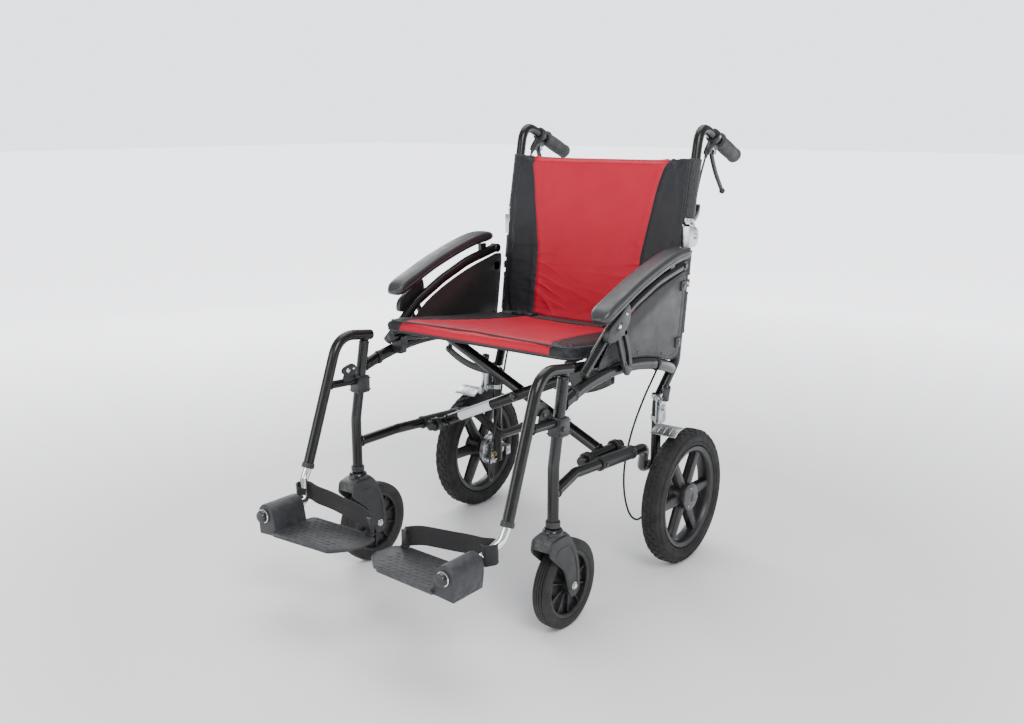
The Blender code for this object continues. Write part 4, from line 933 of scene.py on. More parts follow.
def braces():
    for which, s, y in (("a", 1, 0.0), ("b", -1, 0.025)):
        p = Piece(f"brace_{which}", "paint")
        low = Vector((-s * (PIVOT_X - 0.004), y, PIVOT_Z + 0.004 * SLOPE))
        high = Vector((s * (RAIL_END_X - 0.006), y, CROSS_Z + SLOPE * (RAIL_END_X - 0.006)))
        along = (high - low).normalized()
        p.sweep([low, low.lerp(high, 0.5), high], ring(BRACE_R, 32), up=(0, 1, 0))
        p.rod((-s * PIVOT_X, -0.055, PIVOT_Z), (-s * PIVOT_X, 0.094, PIVOT_Z), TUBE_R, 32)
        p.bead(low + along * 0.0078, along, BRACE_R, 0.002)
        p.bead(high - along * 0.0055, along, BRACE_R, 0.002)
        ends = [Vector((s * RAIL_END_X, v, seat_z(v))) for v in (-0.1415, 0.195)]
        p.rod(*ends, SEAT_RAIL_R, 28)
        lean = (ends[1] - ends[0]).normalized()
        p.paint("plastic")
        plug = [(0, 0), (0.0082, 0), (0.01, 0.0012), (0.01, 0.004), (0, 0.004)]
        p.lathe(plug, ends[0] - lean * 0.0025, lean, 28, closed=False)
        p.lathe(plug, ends[1] + lean * 0.0025, -lean, 28, closed=False)
        for v in (-0.0555, 0.0945):
            way = (0, 1 if v > 0 else -1, 0)
            p.dome((-s * PIVOT_X, v, PIVOT_Z), way, 0.0108, 0.003)
        for v in (-1, 1):
            washer = [(0.0042, 0), (0.01, 0), (0.01, 0.0005), (0.0042, 0.0005)]
            p.lathe(washer, (0, y + v * 0.012 - 0.00025, CROSS_Z), (0, 1, 0), 28)
        if which == "a":
            p.paint("label")
            start, end = low.lerp(high, 0.1), low.lerp(high, 0.31)
            turns = np.linspace(3.7, 5.5, 12)
            arc = [(0.01222 * math.cos(t), 0.01222 * math.sin(t)) for t in turns]
            arc += [(0.01205 * math.cos(t), 0.01205 * math.sin(t)) for t in turns[::-1]]
            p.sweep([start, start.lerp(end, 0.5), end], arc, up=(0, 1, 0))
        p.ride()

    p = Piece("brace_bolt", "gloss")
    p.rod((0, -0.014, CROSS_Z), (0, 0.039, CROSS_Z), 0.004, 20)
    p.bolt((0, -0.0128, CROSS_Z), (0, -1, 0), 0.0072, 0.0045)
    p.bolt((0, 0.0378, CROSS_Z), (0, 1, 0), 0.0074, 0.0045)
    p.ride("brace_a", slot="zinc")


def fold_link(side, s):
    y = LINK_Y[side]
    top = Vector(LINK_TOP)
    tip = Vector((LINK_END_X, CROSS_Z + SLOPE * LINK_END_X))
    middle = (top + tip) / 2 + Vector((0.01, -0.03))
    count = 24
    steps = (i / count for i in range(count + 1))
    line = [top * (1 - t) ** 2 + middle * (2 * t * (1 - t)) + tip * t * t for t in steps]
    p = Piece(f"fold_link_{side}", "plastic")
    path = [at(s, c.x, y + 0.002, c.y) for c in line]
    edge = [(-0.002, 0.007), (-0.0013, 0.008), (0.0013, 0.008), (0.002, 0.007)]
    section = edge + [(-u, -v) for u, v in edge]
    p.sweep(path, section, up=lambda t: Vector((0, 0, 1)))
    for end in (path[0], path[-1]):
        p.rod(end - Vector((0, 0.0021, 0)), end + Vector((0, 0.0021, 0)), 0.0084, 28, 0.0007)
    p.paint("gloss")
    front = -1 if side == "left" else 1
    p.bolt(path[-1] + Vector((0, front * 0.002, 0)), (0, front, 0), 0.0052, 0.0028)
    p.ride()


# ---------------------------------------------------------------- handles and brakes


def handle(side, s):
    body = "back_" + side
    p = Piece(f"push_handle_{side}", "paint")
    p.tube(handle_path(s), TUBE_R, 0.045, 28)
    tongue = [
        (0.289, 0.74), (0.289, 0.7455), (0.312, 0.7455), (0.32, 0.73), (0.322, 0.719), (0.322, 0.706),
        (0.314, 0.701), (0.305, 0.704), (0.302, 0.716), (0.3, 0.73),
    ]
    p.paint("zinc").side_plate(tongue, BACK_X - 0.0085, BACK_X + 0.0085, 0.0012, s)
    foot = on_handle(s, 0.7455)
    lean = on_handle(s, 0.9) - on_handle(s, 0.75)
    p.lathe([(TUBE_R, -0.003), (0.0138, -0.003), (0.0138, 0.005), (TUBE_R, 0.0062)], foot, lean, 32)
    p.paint("gloss")
    release = [
        (0.313, 0.745), (0.322, 0.744), (0.337, 0.756), (0.342, 0.772), (0.339, 0.78), (0.333, 0.776),
        (0.328, 0.765), (0.316, 0.758),
    ]
    p.side_plate(release, BACK_X - 0.007, BACK_X + 0.007, 0.002, s, 4)
    p.ride(body)

    start, end = at(s, HANDLE_X, 0.4275, 0.9151), at(s, HANDLE_X, 0.5165, 0.8783)
    along, length = (end - start).normalized(), (end - start).length
    p = Piece(f"grip_{side}", "grip")
    profile = [(0.0112, 0), (0.0182, 0.0004), (0.0192, 0.002), (0.0192, 0.0042), (0.017, 0.0062)]
    count = 13
    for i in range(count):
        h = 0.0085 + i * (length - 0.02) / count
        swell = 0.001 * math.sin(math.pi * i / (count - 1))
        profile += [
            (0.0151 + swell, h), (0.0163 + swell, h + 0.0014), (0.0163 + swell, h + 0.0034),
            (0.0151 + swell, h + 0.0048),
        ]
    profile += [
        (0.016, length - 0.0095), (0.0172, length - 0.008), (0.0172, length - 0.003),
        (0.015, length - 0.0004),
    ]
    p.lathe(profile + [(0.006, length), (0, length - 0.0008)], start, along, 48, closed=False)
    p.ride(body)

    p = Piece(f"brake_perch_{side}", "plastic")
    middle = at(s, HANDLE_X, 0.406, 0.924)
    band = [(0.0112, -0.007), (0.015, -0.007), (0.0165, -0.005)]
    p.lathe(mirrored(band), middle, along, 40)
    shape = [
        (0.396, 0.915), (0.414, 0.911), (0.4175, 0.902), (0.414, 0.8945), (0.406, 0.8935),
        (0.395, 0.899), (0.387, 0.89), (0.377, 0.8855), (0.3725, 0.889), (0.378, 0.8985), (0.387, 0.908),
    ]
    p.side_plate(shape, 0.23, 0.2325, 0.001, s, 4)
    p.side_plate(shape, 0.2415, 0.244, 0.001, s, 4)
    core = [
        (0.396, 0.915), (0.412, 0.911), (0.408, 0.902), (0.393, 0.901), (0.383, 0.893), (0.376, 0.89),
        (0.38, 0.899), (0.388, 0.908),
    ]
    p.side_plate(core, 0.232, 0.242, 0.0008, s)
    p.paint("zinc").bolt(at(s, 0.244, *BRAKE_LEVER[1:]), (s, 0, 0), 0.0038, 0.0026)
    p.bolt(at(s, 0.23, *BRAKE_LEVER[1:]), (-s, 0, 0), 0.0038, 0.0026)
    p.dome(middle + Vector((s * 0.016, 0, 0)), (s, 0, 0), 0.0034, 0.002)
    barrel, out = at(s, 0.237, 0.379, 0.892), Vector((0, -0.53, -0.85)).normalized()
    adjuster = [
        (0, 0), (0.0044, 0), (0.005, 0.001), (0.005, 0.008), (0.0036, 0.01), (0.0036, 0.015), (0, 0.015),
    ]
    p.paint("plastic").lathe(adjuster, barrel, out, 24, closed=False)
    p.ride(body)

    p = Piece(f"brake_lever_{side}", "plastic")
    bend = [(0.3995, 0.8925), (0.403, 0.878), (0.424, 0.844), (0.448, 0.816), (0.46, 0.802)]
    spine = smooth_path([at(s, HANDLE_X, *c) for c in bend], 6)
    half = [(0.0024, -0.006), (0.0036, -0.0045), (0.0036, 0.003), (0.0018, 0.0048)]
    section = [(-0.0036, -0.0045), (-0.0024, -0.006), *half, (-0.0018, 0.0048), (-0.0036, 0.003)]
    p.sweep(spine, section, up=(0, 1, 0.3), scale=lambda t: (1, 1.15 - 0.4 * t))
    p.rod(at(s, 0.2334, *BRAKE_LEVER[1:]), at(s, 0.2406, *BRAKE_LEVER[1:]), 0.0072, 28)
    r = 0.0068
    ball = [(r * math.cos(a), r * math.sin(a)) for a in np.linspace(-1.2, 1.2, 9)]
    p.lathe([(0, -r), *ball, (0, r)], at(s, HANDLE_X, 0.46, 0.802), (0, 0.7, -0.7), 28, closed=False)
    p.ride()


def brake_cable(side, s):
    route = [
        (0.237, 0.37, 0.878), (0.235, 0.356, 0.842), (0.23, 0.342, 0.78), (0.219, 0.332, 0.7),
        (0.212, 0.318, 0.6), (0.21, 0.29, 0.5), (0.208, 0.245, 0.43), (0.196, 0.205, 0.36),
        (0.186, 0.175, 0.29), (0.185, 0.15, 0.22), (0.19, 0.142, 0.16), (0.199, 0.15, 0.11),
        (0.208, 0.168, 0.09), (0.216, 0.186, 0.098), (0.219, 0.1905, 0.118), (0.2195, 0.1905, 0.1322),
    ]
    path = smooth_path([at(s, *c) for c in route], 6)
    p = Piece(f"brake_cable_{side}", "sheath")
    p.sweep(path, ring(CABLE_R, 14))
    obj = p.stand()
    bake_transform(obj)


def parking_brake(side, s):
    py, pz = PARK
    p = Piece(f"parking_brake_bracket_{side}", "zinc")
    for z in (0.315, 0.364):
        loop = [at(s, REAR_POST_X + u, REAR_POST_Y + v, z + 0.005) for u, v in ring(0.0122, 32)]
        strip = [(-0.0009, -0.005), (0.0009, -0.005), (0.0009, 0.005), (-0.0009, 0.005)]
        p.sweep(loop, strip, up=(0, 0, 1), closed=True)
        p.box(*beside(s, REAR_POST_X + 0.0085, REAR_POST_X + 0.013, 0.189, z, 0.212, z + 0.01), 0.0008)
        p.bolt(at(s, REAR_POST_X + 0.016, 0.1945, z + 0.005), (s, 0, 0), 0.0044, 0.003)
        p.bolt(at(s, REAR_POST_X + 0.0085, 0.1945, z + 0.005), (-s, 0, 0), 0.0044, 0.003)
    cheek = [
        (0.185, 0.314), (0.189, 0.31), (0.224, 0.31), (0.228, 0.315), (0.228, 0.373), (0.223, 0.378),
        (0.19, 0.378), (0.185, 0.37),
    ]
    p.side_plate(cheek, REAR_POST_X + 0.013, REAR_POST_X + 0.016, 0.0007, s)
    p.rod(at(s, 0.238, py, pz), at(s, 0.2545, py, pz), 0.0035, 20)
    p.bolt(at(s, 0.2495, py, pz), (s, 0, 0), 0.0062, 0.0038)
    p.paint("brass").spring(at(s, 0.2425, 0.208, 0.356), at(s, 0.2425, 0.216, 0.32), 0.0024, 0.0005, 11)
    p.ride("side_" + side)

    p = Piece(f"parking_brake_lever_{side}", "zinc")
    arm = [
        (-0.009, -0.006), (-0.008, 0.008), (-0.002, 0.022), (0.004, 0.026), (0.011, 0.02),
        (0.008, -0.006), (-0.006, -0.036), (-0.016, -0.046), (-0.026, -0.044), (-0.026, -0.034),
        (-0.016, -0.026),
    ]
    p.side_plate([(py + u, pz + v) for u, v in arm], 0.245, 0.249, 0.0008, s, 4)
    shoe = [
        (-0.0455, -0.044), (-0.028, -0.035), (-0.01, -0.033), (-0.01, -0.0355), (-0.028, -0.038),
        (-0.0445, -0.047),
    ]
    outline = smooth_path([Vector((0, py + u, pz + v)) for u, v in shoe], 5, closed=True)
    p.slab([at(s, 0.246, c.y, c.z) for c in outline], (s * 0.06, 0, 0), 0.0008)
    for x in (0.262, 0.276, 0.29):
        rib = [at(s, x, py + u, pz + v + 0.001) for u, v in (
            (-0.043, -0.0443), (-0.028, -0.0362), (-0.012, -0.034),
        )]
        p.sweep(smooth_path(rib, 5), ring(0.0012, 8))
    p.paint("gloss")
    low, high = at(s, 0.252, py + 0.004, pz + 0.014), at(s, 0.252, py + 0.01, pz + 0.05)
    span = (high - low).length
    knob = [
        (0, 0), (0.0055, 0), (0.0078, 0.003), (0.0076, 0.012), (0.0086, span - 0.012),
        (0.0094, span - 0.006), (0.0075, span - 0.0012), (0, span),
    ]
    p.lathe(knob, low, high - low, 36, closed=False)
    p.ride("parking_brake_" + side)


# ---------------------------------------------------------------- armrests


def armrest(side, s):
    body = "armrest_" + side
    p = Piece(f"armrest_tube_{side}", "paint")
    p.sweep(armrest_path(s), ring(0.0095, 28, 0.011), up=(0, 0, 1))
    p.rod(at(s, 0.244, *ARM_PIVOT[1:]), at(s, 0.265, *ARM_PIVOT[1:]), 0.0105, 36, 0.0015)
    post = [(0.1895, 0.64), (0.2065, 0.644), (0.2085, 0.6715), (0.188, 0.6715)]
    p.side_plate(post, 0.25, 0.261, 0.0015, s)
    p.paint("gloss").bolt(at(s, 0.264, *ARM_PIVOT[1:]), (s, 0, 0), 0.0058, 0.003)
    p.paint("plastic").dome(at(s, RAIL_X, -0.1312, 0.49), (0, -0.8, -0.6), 0.0098, 0.003)
    p.ride(body)

    top = [
        (-0.103, 0.601), (-0.08, 0.617), (-0.03, 0.6365), (0.02, 0.6555), (0.07, 0.6715), (0.12, 0.6855),
        (0.176, 0.6975), (0.215, 0.699), (0.238, 0.6945),
    ]
    under = [
        (-0.1065, 0.5865), (-0.085, 0.585), (-0.04, 0.6035), (0.02, 0.6275), (0.07, 0.6435),
        (0.12, 0.658), (0.176, 0.6705), (0.215, 0.6752), (0.248, 0.683),
    ]
    crest, keel = smooth_path([at(s, 0, *c) for c in top], 5), smooth_path([at(s, 0, *c) for c in under], 5)
    count = len(crest)
    p = Piece(f"armrest_pad_{side}", "pad")
    mesh = bmesh.new()
    rows = []
    for i in range(count):
        t = i / (count - 1)
        middle, half = (crest[i] + keel[i]) / 2, (crest[i] - keel[i]) / 2
        end = min(1.0, (min(t, 1 - t) / 0.075 + 0.02) ** 0.42)
        wide = PAD_HALF * min(1.0, (min(t, 1 - t) / 0.11 + 0.03) ** 0.45)
        row = []
        for k in range(28):
            a = 2 * math.pi * k / 28
            u = math.copysign(abs(math.cos(a)) ** 0.55, math.cos(a))
            v = math.copysign(abs(math.sin(a)) ** 0.62, math.sin(a))
            row.append(mesh.verts.new(middle + Vector((s * PAD_X + u * wide, 0, 0)) + half * (v * end)))
        rows.append(row)
    for first, second in zip(rows, rows[1:]):
        for k in range(28):
            mesh.faces.new((first[k], first[(k + 1) % 28], second[(k + 1) % 28], second[k]))
    mesh.faces.new(rows[0][::-1])
    mesh.faces.new(rows[-1])
    bmesh.ops.recalc_face_normals(mesh, faces=mesh.faces)
    p.take(mesh)
    obj = p.ride(body, sharp=50)
    soften = obj.modifiers.new("soften", "SUBSURF")
    soften.levels = soften.render_levels = 1

    p = Piece(f"armrest_seam_{side}", "gloss", extra=True)
    seam = [a.lerp(b, 0.42) for a, b in zip(keel[1:-1], crest[1:-1])]
    for way in (1, -1):
        line = []
        for i, c in enumerate(seam):
            end = min(i, len(seam) - 1 - i) / len(seam)
            wide = way * PAD_HALF * min(1.0, (end / 0.11 + 0.06) ** 0.45)
            line.append(c + Vector((s * PAD_X + wide, 0, 0)))
        p.sweep(line[1:-1], ring(0.0007, 6))
    p.ride(body)

    p = Piece(f"armrest_latch_{side}", "plastic")
    shape = [
        (-0.078, 0.546), (-0.074, 0.57), (-0.04, 0.59), (-0.008, 0.611), (0.002, 0.596), (-0.002, 0.572),
        (-0.026, 0.552), (-0.052, 0.543),
    ]
    p.side_plate(shape, 0.2655, 0.2785, 0.0018, s, 4)
    bars = (
        ((-0.042, 0.56), (-0.026, 0.52), (-0.013, 0.489)),
        ((-0.016, 0.56), (0.002, 0.515), (0.0095, 0.482)),
    )
    for bar in bars:
        points = [at(s, 0.274, *c) for c in bar]
        end = [(-0.004, -0.0042), (-0.003, -0.0052), (0.003, -0.0052), (0.004, -0.0042)]
        p.sweep(smooth_path(points, 4), end + [(-u, -v) for u, v in end], up=(0, 1, 0.3))
    foot = [
        (-0.018, 0.493), (-0.006, 0.468), (0.006, 0.468), (0.013, 0.478), (0.006, 0.49), (-0.004, 0.486),
        (-0.0085, 0.496),
    ]
    p.side_plate(foot, 0.27, 0.278, 0.0012, s, 3)
    p.side_plate([(-0.048, 0.564), (-0.01, 0.564), (-0.008, 0.55), (-0.043, 0.55)], 0.27, 0.278, 0.0012, s)
    p.paint("gloss")
    loop = [at(
        s, 0.2787, -0.042 + u * 0.9 + v * 0.35, 0.569 + v * 0.9 + u * 0.45,
    ) for u, v in ring(0.015, 32, 0.006)]
    p.sweep(loop, ring(0.0012, 8), closed=True)
    p.paint("white").dome(at(s, 0.2783, -0.038, 0.571), (s, 0, 0), 0.0055, 0.002)
    p.paint("chrome").dome(at(s, 0.28, -0.038, 0.571), (s, 0, 0), 0.003, 0.001)
    p.dome(at(s, 0.2783, -0.012, 0.592), (s, 0, 0), 0.003, 0.0014)
    p.ride(body)


# ---------------------------------------------------------------- footrests


def hanger(side, s):
    p = Piece(f"hanger_{side}", "paint")
    path = [
        at(s, POST_X - 0.001, -0.181, 0.5115), at(s, POST_X - 0.001, -0.2735, 0.5245),
        at(s, POST_X, -0.371, 0.264),
    ]
    p.tube(path, TUBE_R, 0.062, 28, 12)
    p.paint("plastic").dome(path[0], (0, 1, -0.14), 0.011, 0.004)
    collar = [(TUBE_R, -0.002), (0.0128, -0.002), (0.0132, 0.003), (0.0128, 0.008), (TUBE_R, 0.008)]
    p.lathe(collar, path[2], path[1] - path[2], 32)
    p.paint("paint").rod(at(s, 0.2595, -0.311, 0.424), at(s, 0.2593, -0.218, 0.418), 0.0085, 28)
    p.bead(at(s, 0.2595, -0.299, 0.4232), (0, 1, -0.06), 0.0085, 0.0018)
    p.paint("plastic")
    y0, y1 = -0.2318, -0.198
    p.box(*beside(s, 0.244, 0.275, y0, 0.39, y1, 0.428), 0.0048)
    for z in (0.3965, 0.4215):
        p.box(*beside(s, 0.2434, 0.2756, y0 - 0.0006, z - 0.0012, y1 + 0.0006, z + 0.0012), 0.0008)
    p.paint("gloss").bolt(at(s, 0.275, -0.2235, 0.409), (s, 0, 0), 0.0048, 0.0032)
    p.paint("plastic")
    lug = [(-0.266, 0.424), (-0.268, 0.436), (-0.256, 0.448), (-0.24, 0.447), (-0.23, 0.426)]
    p.side_plate(lug, 0.251, 0.255, 0.001, s, 3)
    p.box(*beside(s, 0.245, 0.256, -0.24, 0.427, -0.229, 0.433), 0.0015)
    p.paint("gloss").bolt(at(s, 0.255, -0.256, 0.44), (s, 0, 0), 0.004, 0.0026)
    p.paint("paint").rod(
        at(s, POST_X - 0.001, -0.199, 0.502), at(s, POST_X - 0.001, -0.1965, 0.512), 0.01, 28,
    )
    p.ride()

    p = Piece(f"hanger_catch_{side}", "plastic")
    knob = [
        (-0.276, 0.445), (-0.274, 0.456), (-0.25, 0.462), (-0.237, 0.453), (-0.237, 0.444),
        (-0.258, 0.436),
    ]
    p.side_plate(knob, 0.244, 0.25, 0.0016, s, 4)
    p.paint("chrome").dome(at(s, 0.244, -0.262, 0.449), (-s, 0, 0), 0.0052, 0.0022)
    p.dome(at(s, 0.244, -0.246, 0.451), (-s, 0, 0), 0.0028, 0.0012)
    p.ride()

    down = (path[2] - path[1]).normalized()
    p = Piece(f"footrest_tube_{side}", "chrome")
    slim = [
        path[2] - down * 0.07, path[2] - down * 0.002, at(s, POST_X, -0.372, 0.2605),
        at(s, POST_X - 0.001, -0.384, 0.24), at(s, FOOT_X, -0.408, FOOT_Z),
        at(s, FOOT_X, -0.4255, FOOT_Z),
    ]
    p.tube(slim, 0.0092, [0.01, 0.01, 0.02, 0.018], 28)
    p.bead(at(s, FOOT_X, -0.4252, FOOT_Z), (0, 1, 0), 0.0094, 0.0014)
    p.ride("footrest_" + side)

    p = Piece(f"footplate_pivot_{side}", "chrome")
    p.rod(at(s, FOOT_X, -0.4263, FOOT_Z), at(s, FOOT_X, -0.512, FOOT_Z), 0.008, 28)
    end = at(s, FOOT_X, -0.5095, FOOT_Z)
    flange = [(0.0085, 0), (0.013, 0), (0.0138, 0.0012), (0.0138, 0.0036), (0.0128, 0.0046), (0.0085, 0.0046)]
    p.lathe(flange, end, (0, -1, 0), 40)
    p.paint("gloss")
    cap = [(0, 0.0046), (0.0122, 0.0046), (0.0122, 0.0095), (0.0105, 0.0122), (0.006, 0.0132), (0, 0.0133)]
    p.lathe(cap, end, (0, -1, 0), 40, closed=False)
    p.ride()


def footplate(side, s):
    p = Piece(f"footplate_{side}", "plate")
    outline = [
        (0.206, -0.515), (0.06, -0.506), (0.025, -0.476), (0.0175, -0.456), (0.025, -0.414),
        (0.056, -0.402), (0.206, -0.408),
    ]
    loop = rounded([at(s, x, y, PLATE_TOP - 0.004) for x, y in outline + [outline[0]]], 0.014, 5)[:-1]
    p.slab(loop, (0, 0, 0.004), 0.001)
    inner = []
    for x, y in outline:
        x = max(x, 0.036) + (0.003 if x < 0.1 else 0)
        inner.append(at(s, x, y + (0.003 if y < -0.45 else -0.003), PLATE_TOP - 0.011))
    p.slab(rounded(inner + [inner[0]], 0.012, 5)[:-1], (0, 0, 0.008), 0.0015)
    z = PLATE_TOP - 0.0002
    rim = [at(s, (x - 0.12) * 0.965 + 0.12, (y + 0.46) * 0.93 - 0.46, z) for x, y in outline]
    p.sweep(rounded(rim + [rim[0]], 0.014, 5)[:-1], ring(0.0009, 8), closed=True)
    p.paint("hub")
    for row in range(9):
        y = -0.499 + row * 0.0105
        for k in range(9):
            x = 0.05 + k * 0.0165 + (0.00825 if row % 2 else 0)
            if 0.04 + abs(y + 0.46) * 0.35 < x < 0.186:
                p.box(
                    *beside(s, x, x + 0.011, y - 0.0011, PLATE_TOP - 0.0006, y + 0.0011, PLATE_TOP + 0.0008),
                    0.0005,
                )
    p.paint("plate")
    block = [
        (0.203, PLATE_TOP - 0.011), (0.25, PLATE_TOP - 0.015), (0.2535, 0.196), (0.2528, 0.211),
        (0.249, 0.2205), (0.2415, 0.2275), (0.2315, 0.23), (0.2215, 0.2275), (0.214, 0.2205),
        (0.21, 0.21), (0.206, 0.192),
    ]
    p.slab([at(s, x, -0.5085, z) for x, z in block], (0, 0.0815, 0), 0.0026, 3)
    p.paint("hub")
    for y in (-0.4965, -0.439):
        p.dome(at(s, 0.216, y, PLATE_TOP + 0.0004), (0, 0, 1), 0.0034, 0.0014)
    p.paint("plastic")
    p.box(*beside(s, 0.04, 0.052, -0.412, PLATE_TOP - 0.002, -0.402, 0.2165), 0.002)
    p.box(*beside(s, 0.0385, 0.0535, -0.4135, PLATE_TOP - 0.0005, -0.4005, PLATE_TOP + 0.004), 0.0015)
    p.ride()


def strap_row(p, path, up, half_width, half_thick, waves):
    """A flat woven strap with a rolled selvedge along both edges."""
    points = []
    for i, c in enumerate(smooth_path(path, 8)):
        points.append(c + Vector((0, waves * math.sin(i * 0.42), 0.4 * waves * math.sin(i * 0.27))))
    edge = [
        (half_thick, -half_width), (half_thick * 1.6, -half_width * 0.93),
        (half_thick, -half_width * 0.82), (half_thick, half_width * 0.82),
        (half_thick * 1.6, half_width * 0.93), (half_thick, half_width),
    ]
    section = edge + [(-u, v) for u, v in edge[::-1]]
    p.sweep(points, section, up=up)
    return length_of(points)


def heel_strap(side, s):
    path = [
        (0.046, -0.401, 0.2), (0.09, -0.392, 0.208), (0.16, -0.384, 0.212), (0.212, -0.3835, 0.216),
        (0.24, -0.384, 0.22), (0.256, -0.391, 0.2215), (0.2575, -0.405, 0.22), (0.244, -0.4125, 0.217),
        (0.23, -0.408, 0.215),
    ]
    p = Piece(f"heel_strap_{side}", "webbing")
    length = strap_row(p, [at(s, *c) for c in path], (0, 0, 1), 0.019, 0.0009, 0.0013)
    p.box(*beside(s, 0.042, 0.052, -0.4035, 0.185, -0.3995, 0.218), 0.0015)
    obj = p.ride("footrest_" + side)
    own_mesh(obj)


for side_name, sign in SIDES:
    side_frame(side_name, sign)
    side_panel(side_name, sign)
    hub_brake(side_name, sign)
    rear_wheel(side_name, sign)
    castor(side_name, sign)
    fold_link(side_name, sign)
    handle(side_name, sign)
    brake_cable(side_name, sign)
    parking_brake(side_name, sign)
    armrest(side_name, sign)
    hanger(side_name, sign)
    footplate(side_name, sign)
    heel_strap(side_name, sign)
braces()


# ---------------------------------------------------------------- padded fabric


def shell_object(name, mesh):
    data = bpy.data.meshes.new(name)
    mesh.to_mesh(data)
    mesh.free()
    obj = bpy.data.objects.new(name, data)
    bpy.context.scene.collection.objects.link(obj)
    return obj


def remeshed(obj, size):
    step = obj.modifiers.new("remesh", "REMESH")
    step.mode = "VOXEL"
    step.voxel_size = size
    apply_modifiers(obj)


def coordinates(data):
    flat = np.empty(len(data.vertices) * 3)
    data.vertices.foreach_get("co", flat)
    return flat.reshape(-1, 3)


CLOTH_FRAMES = 20  # steps of the cloth simulation


def stuffed(obj, pinned, cap, pressure):
    """Inflates the closed cloth from its remeshed shape, each point by at most cap."""
    rest = coordinates(obj.data)
    group = obj.vertex_groups.new(name="sewn")
    group.add([i for i, c in enumerate(rest) if pinned(*c)], 1.0, "REPLACE")
    step = obj.modifiers.new("stuffing", "CLOTH")
    step.settings.quality = 6
    step.settings.mass = 0.25
    step.settings.vertex_group_mass = "sewn"
    step.settings.use_pressure = True
    step.settings.uniform_pressure_force = pressure
    step.settings.shrink_min = -0.02
    step.settings.tension_stiffness = 25
    step.settings.compression_stiffness = 12
    step.settings.bending_stiffness = 0.25
    step.settings.effector_weights.gravity = 0
    scene = bpy.context.scene
    for moment in range(1, CLOTH_FRAMES + 1):
        scene.frame_set(moment)
    graph = bpy.context.evaluated_depsgraph_get()
    moved = obj.evaluated_get(graph).to_mesh()
    shift = coordinates(moved) - rest
    far = np.linalg.norm(shift, axis=1, keepdims=True)
    shift *= np.minimum(1.0, cap / np.maximum(far, 1e-9))
    obj.modifiers.clear()
    obj.vertex_groups.clear()
    obj.data.vertices.foreach_set("co", (rest + shift).ravel())
    obj.data.update()
    scene.frame_set(1)


def subdivided(obj):
    step = obj.modifiers.new("fine", "SUBSURF")
    step.levels = step.render_levels = 1
    apply_modifiers(obj)


def displaced(obj, height):
    """Moves each vertex along its normal by height(place)."""
    data = obj.data
    flat = np.empty(len(data.vertices) * 3)
    data.vertices.foreach_get("normal", flat)
    normals = flat.reshape(-1, 3)
    places = coordinates(data)
    lift = np.array([height(Vector(c)) for c in places])
    data.vertices.foreach_set("co", (places + normals * lift[:, None]).ravel())
    data.update()


def ridge(value):
    """Narrow crests from smooth noise."""
    return (1 - abs(value)) ** 3


def seam_of(knots):
    """Distance of a seam from the middle plane, as a function of the place along it."""
    line = smooth_path([Vector((a, b, 0)) for a, b in knots], 8)
    along, out = [c.x for c in line], [c.y for c in line]
    return lambda v: float(np.interp(v, along, out))


def onto(tree, origin, direction, lift=0.0002):
    """Where a ray first meets the surface, lifted off it."""
    place, normal, _, _ = tree.ray_cast(Vector(origin), Vector(direction))
    return place + normal * lift if place else None


def zoned(obj, zone):
    """Stores how far each vertex lies inside the red cloth."""
    places = coordinates(obj.data)
    layer = obj.data.attributes.new("zone", "FLOAT", "POINT")
    layer.data.foreach_set("value", np.array([zone(*c) for c in places]))


def even(points, spacing):
    """The polyline sampled at even steps."""
    made, left = [points[0]], spacing
    for a, b in zip(points, points[1:]):
        span = (b - a).length
        while span > left:
            a = a.lerp(b, left / span)
            made.append(a)
            span, left = (b - a).length, spacing
        left -= span
    return made


STITCH_GAP = 0.0048  # from a seam to the row of stitches beside it


def sewn(p, line, stitched):
    """A row of red stitches, or a seam's dark cord, along the points of the line that were found."""
    line = [c for c in line if c]
    if stitched:
        line = even(line, 0.0016)
        p.paint("nylon")
        for i in range(0, len(line) - 2, 3):
            p.sweep(line[i : i + 3], ring(0.00045, 6))
    else:
        p.paint("charcoal").sweep(line, ring(0.0007, 6))


def tree_of(obj):
    mesh = bmesh.new()
    mesh.from_mesh(obj.data)
    tree = BVHTree.FromBMesh(mesh)
    mesh.free()
    return tree


def take_object(p, obj):
    mesh = bmesh.new()
    mesh.from_mesh(obj.data)
    bpy.data.objects.remove(obj)
    return p.take(mesh)


SEAT_UNDER, SEAT_OVER = 0.013, 0.0395
SEAT_FRONT, SEAT_REAR, SEAT_HALF = -0.162, 0.242, 0.243
seat_seam = seam_of([
    (-0.17, 0.199), (-0.11, 0.18), (-0.05, 0.162), (0.01, 0.1465), (0.06, 0.1385), (0.13, 0.13),
    (0.25, 0.124),
])
back_seam = seam_of([(0.5, 0.141), (0.64, 0.14), (0.7, 0.147), (0.77, 0.159), (0.83, 0.17), (0.9, 0.191)])


def seat_outline(inset, corner):
    half, front, rear = SEAT_HALF - inset, SEAT_FRONT + inset, SEAT_REAR - inset
    corners = ((0, front), (half, front), (half, rear), (-half, rear), (-half, front), (0, front))
    return rounded([Vector((x, y, 0)) for x, y in corners], corner, 8)[:-1]


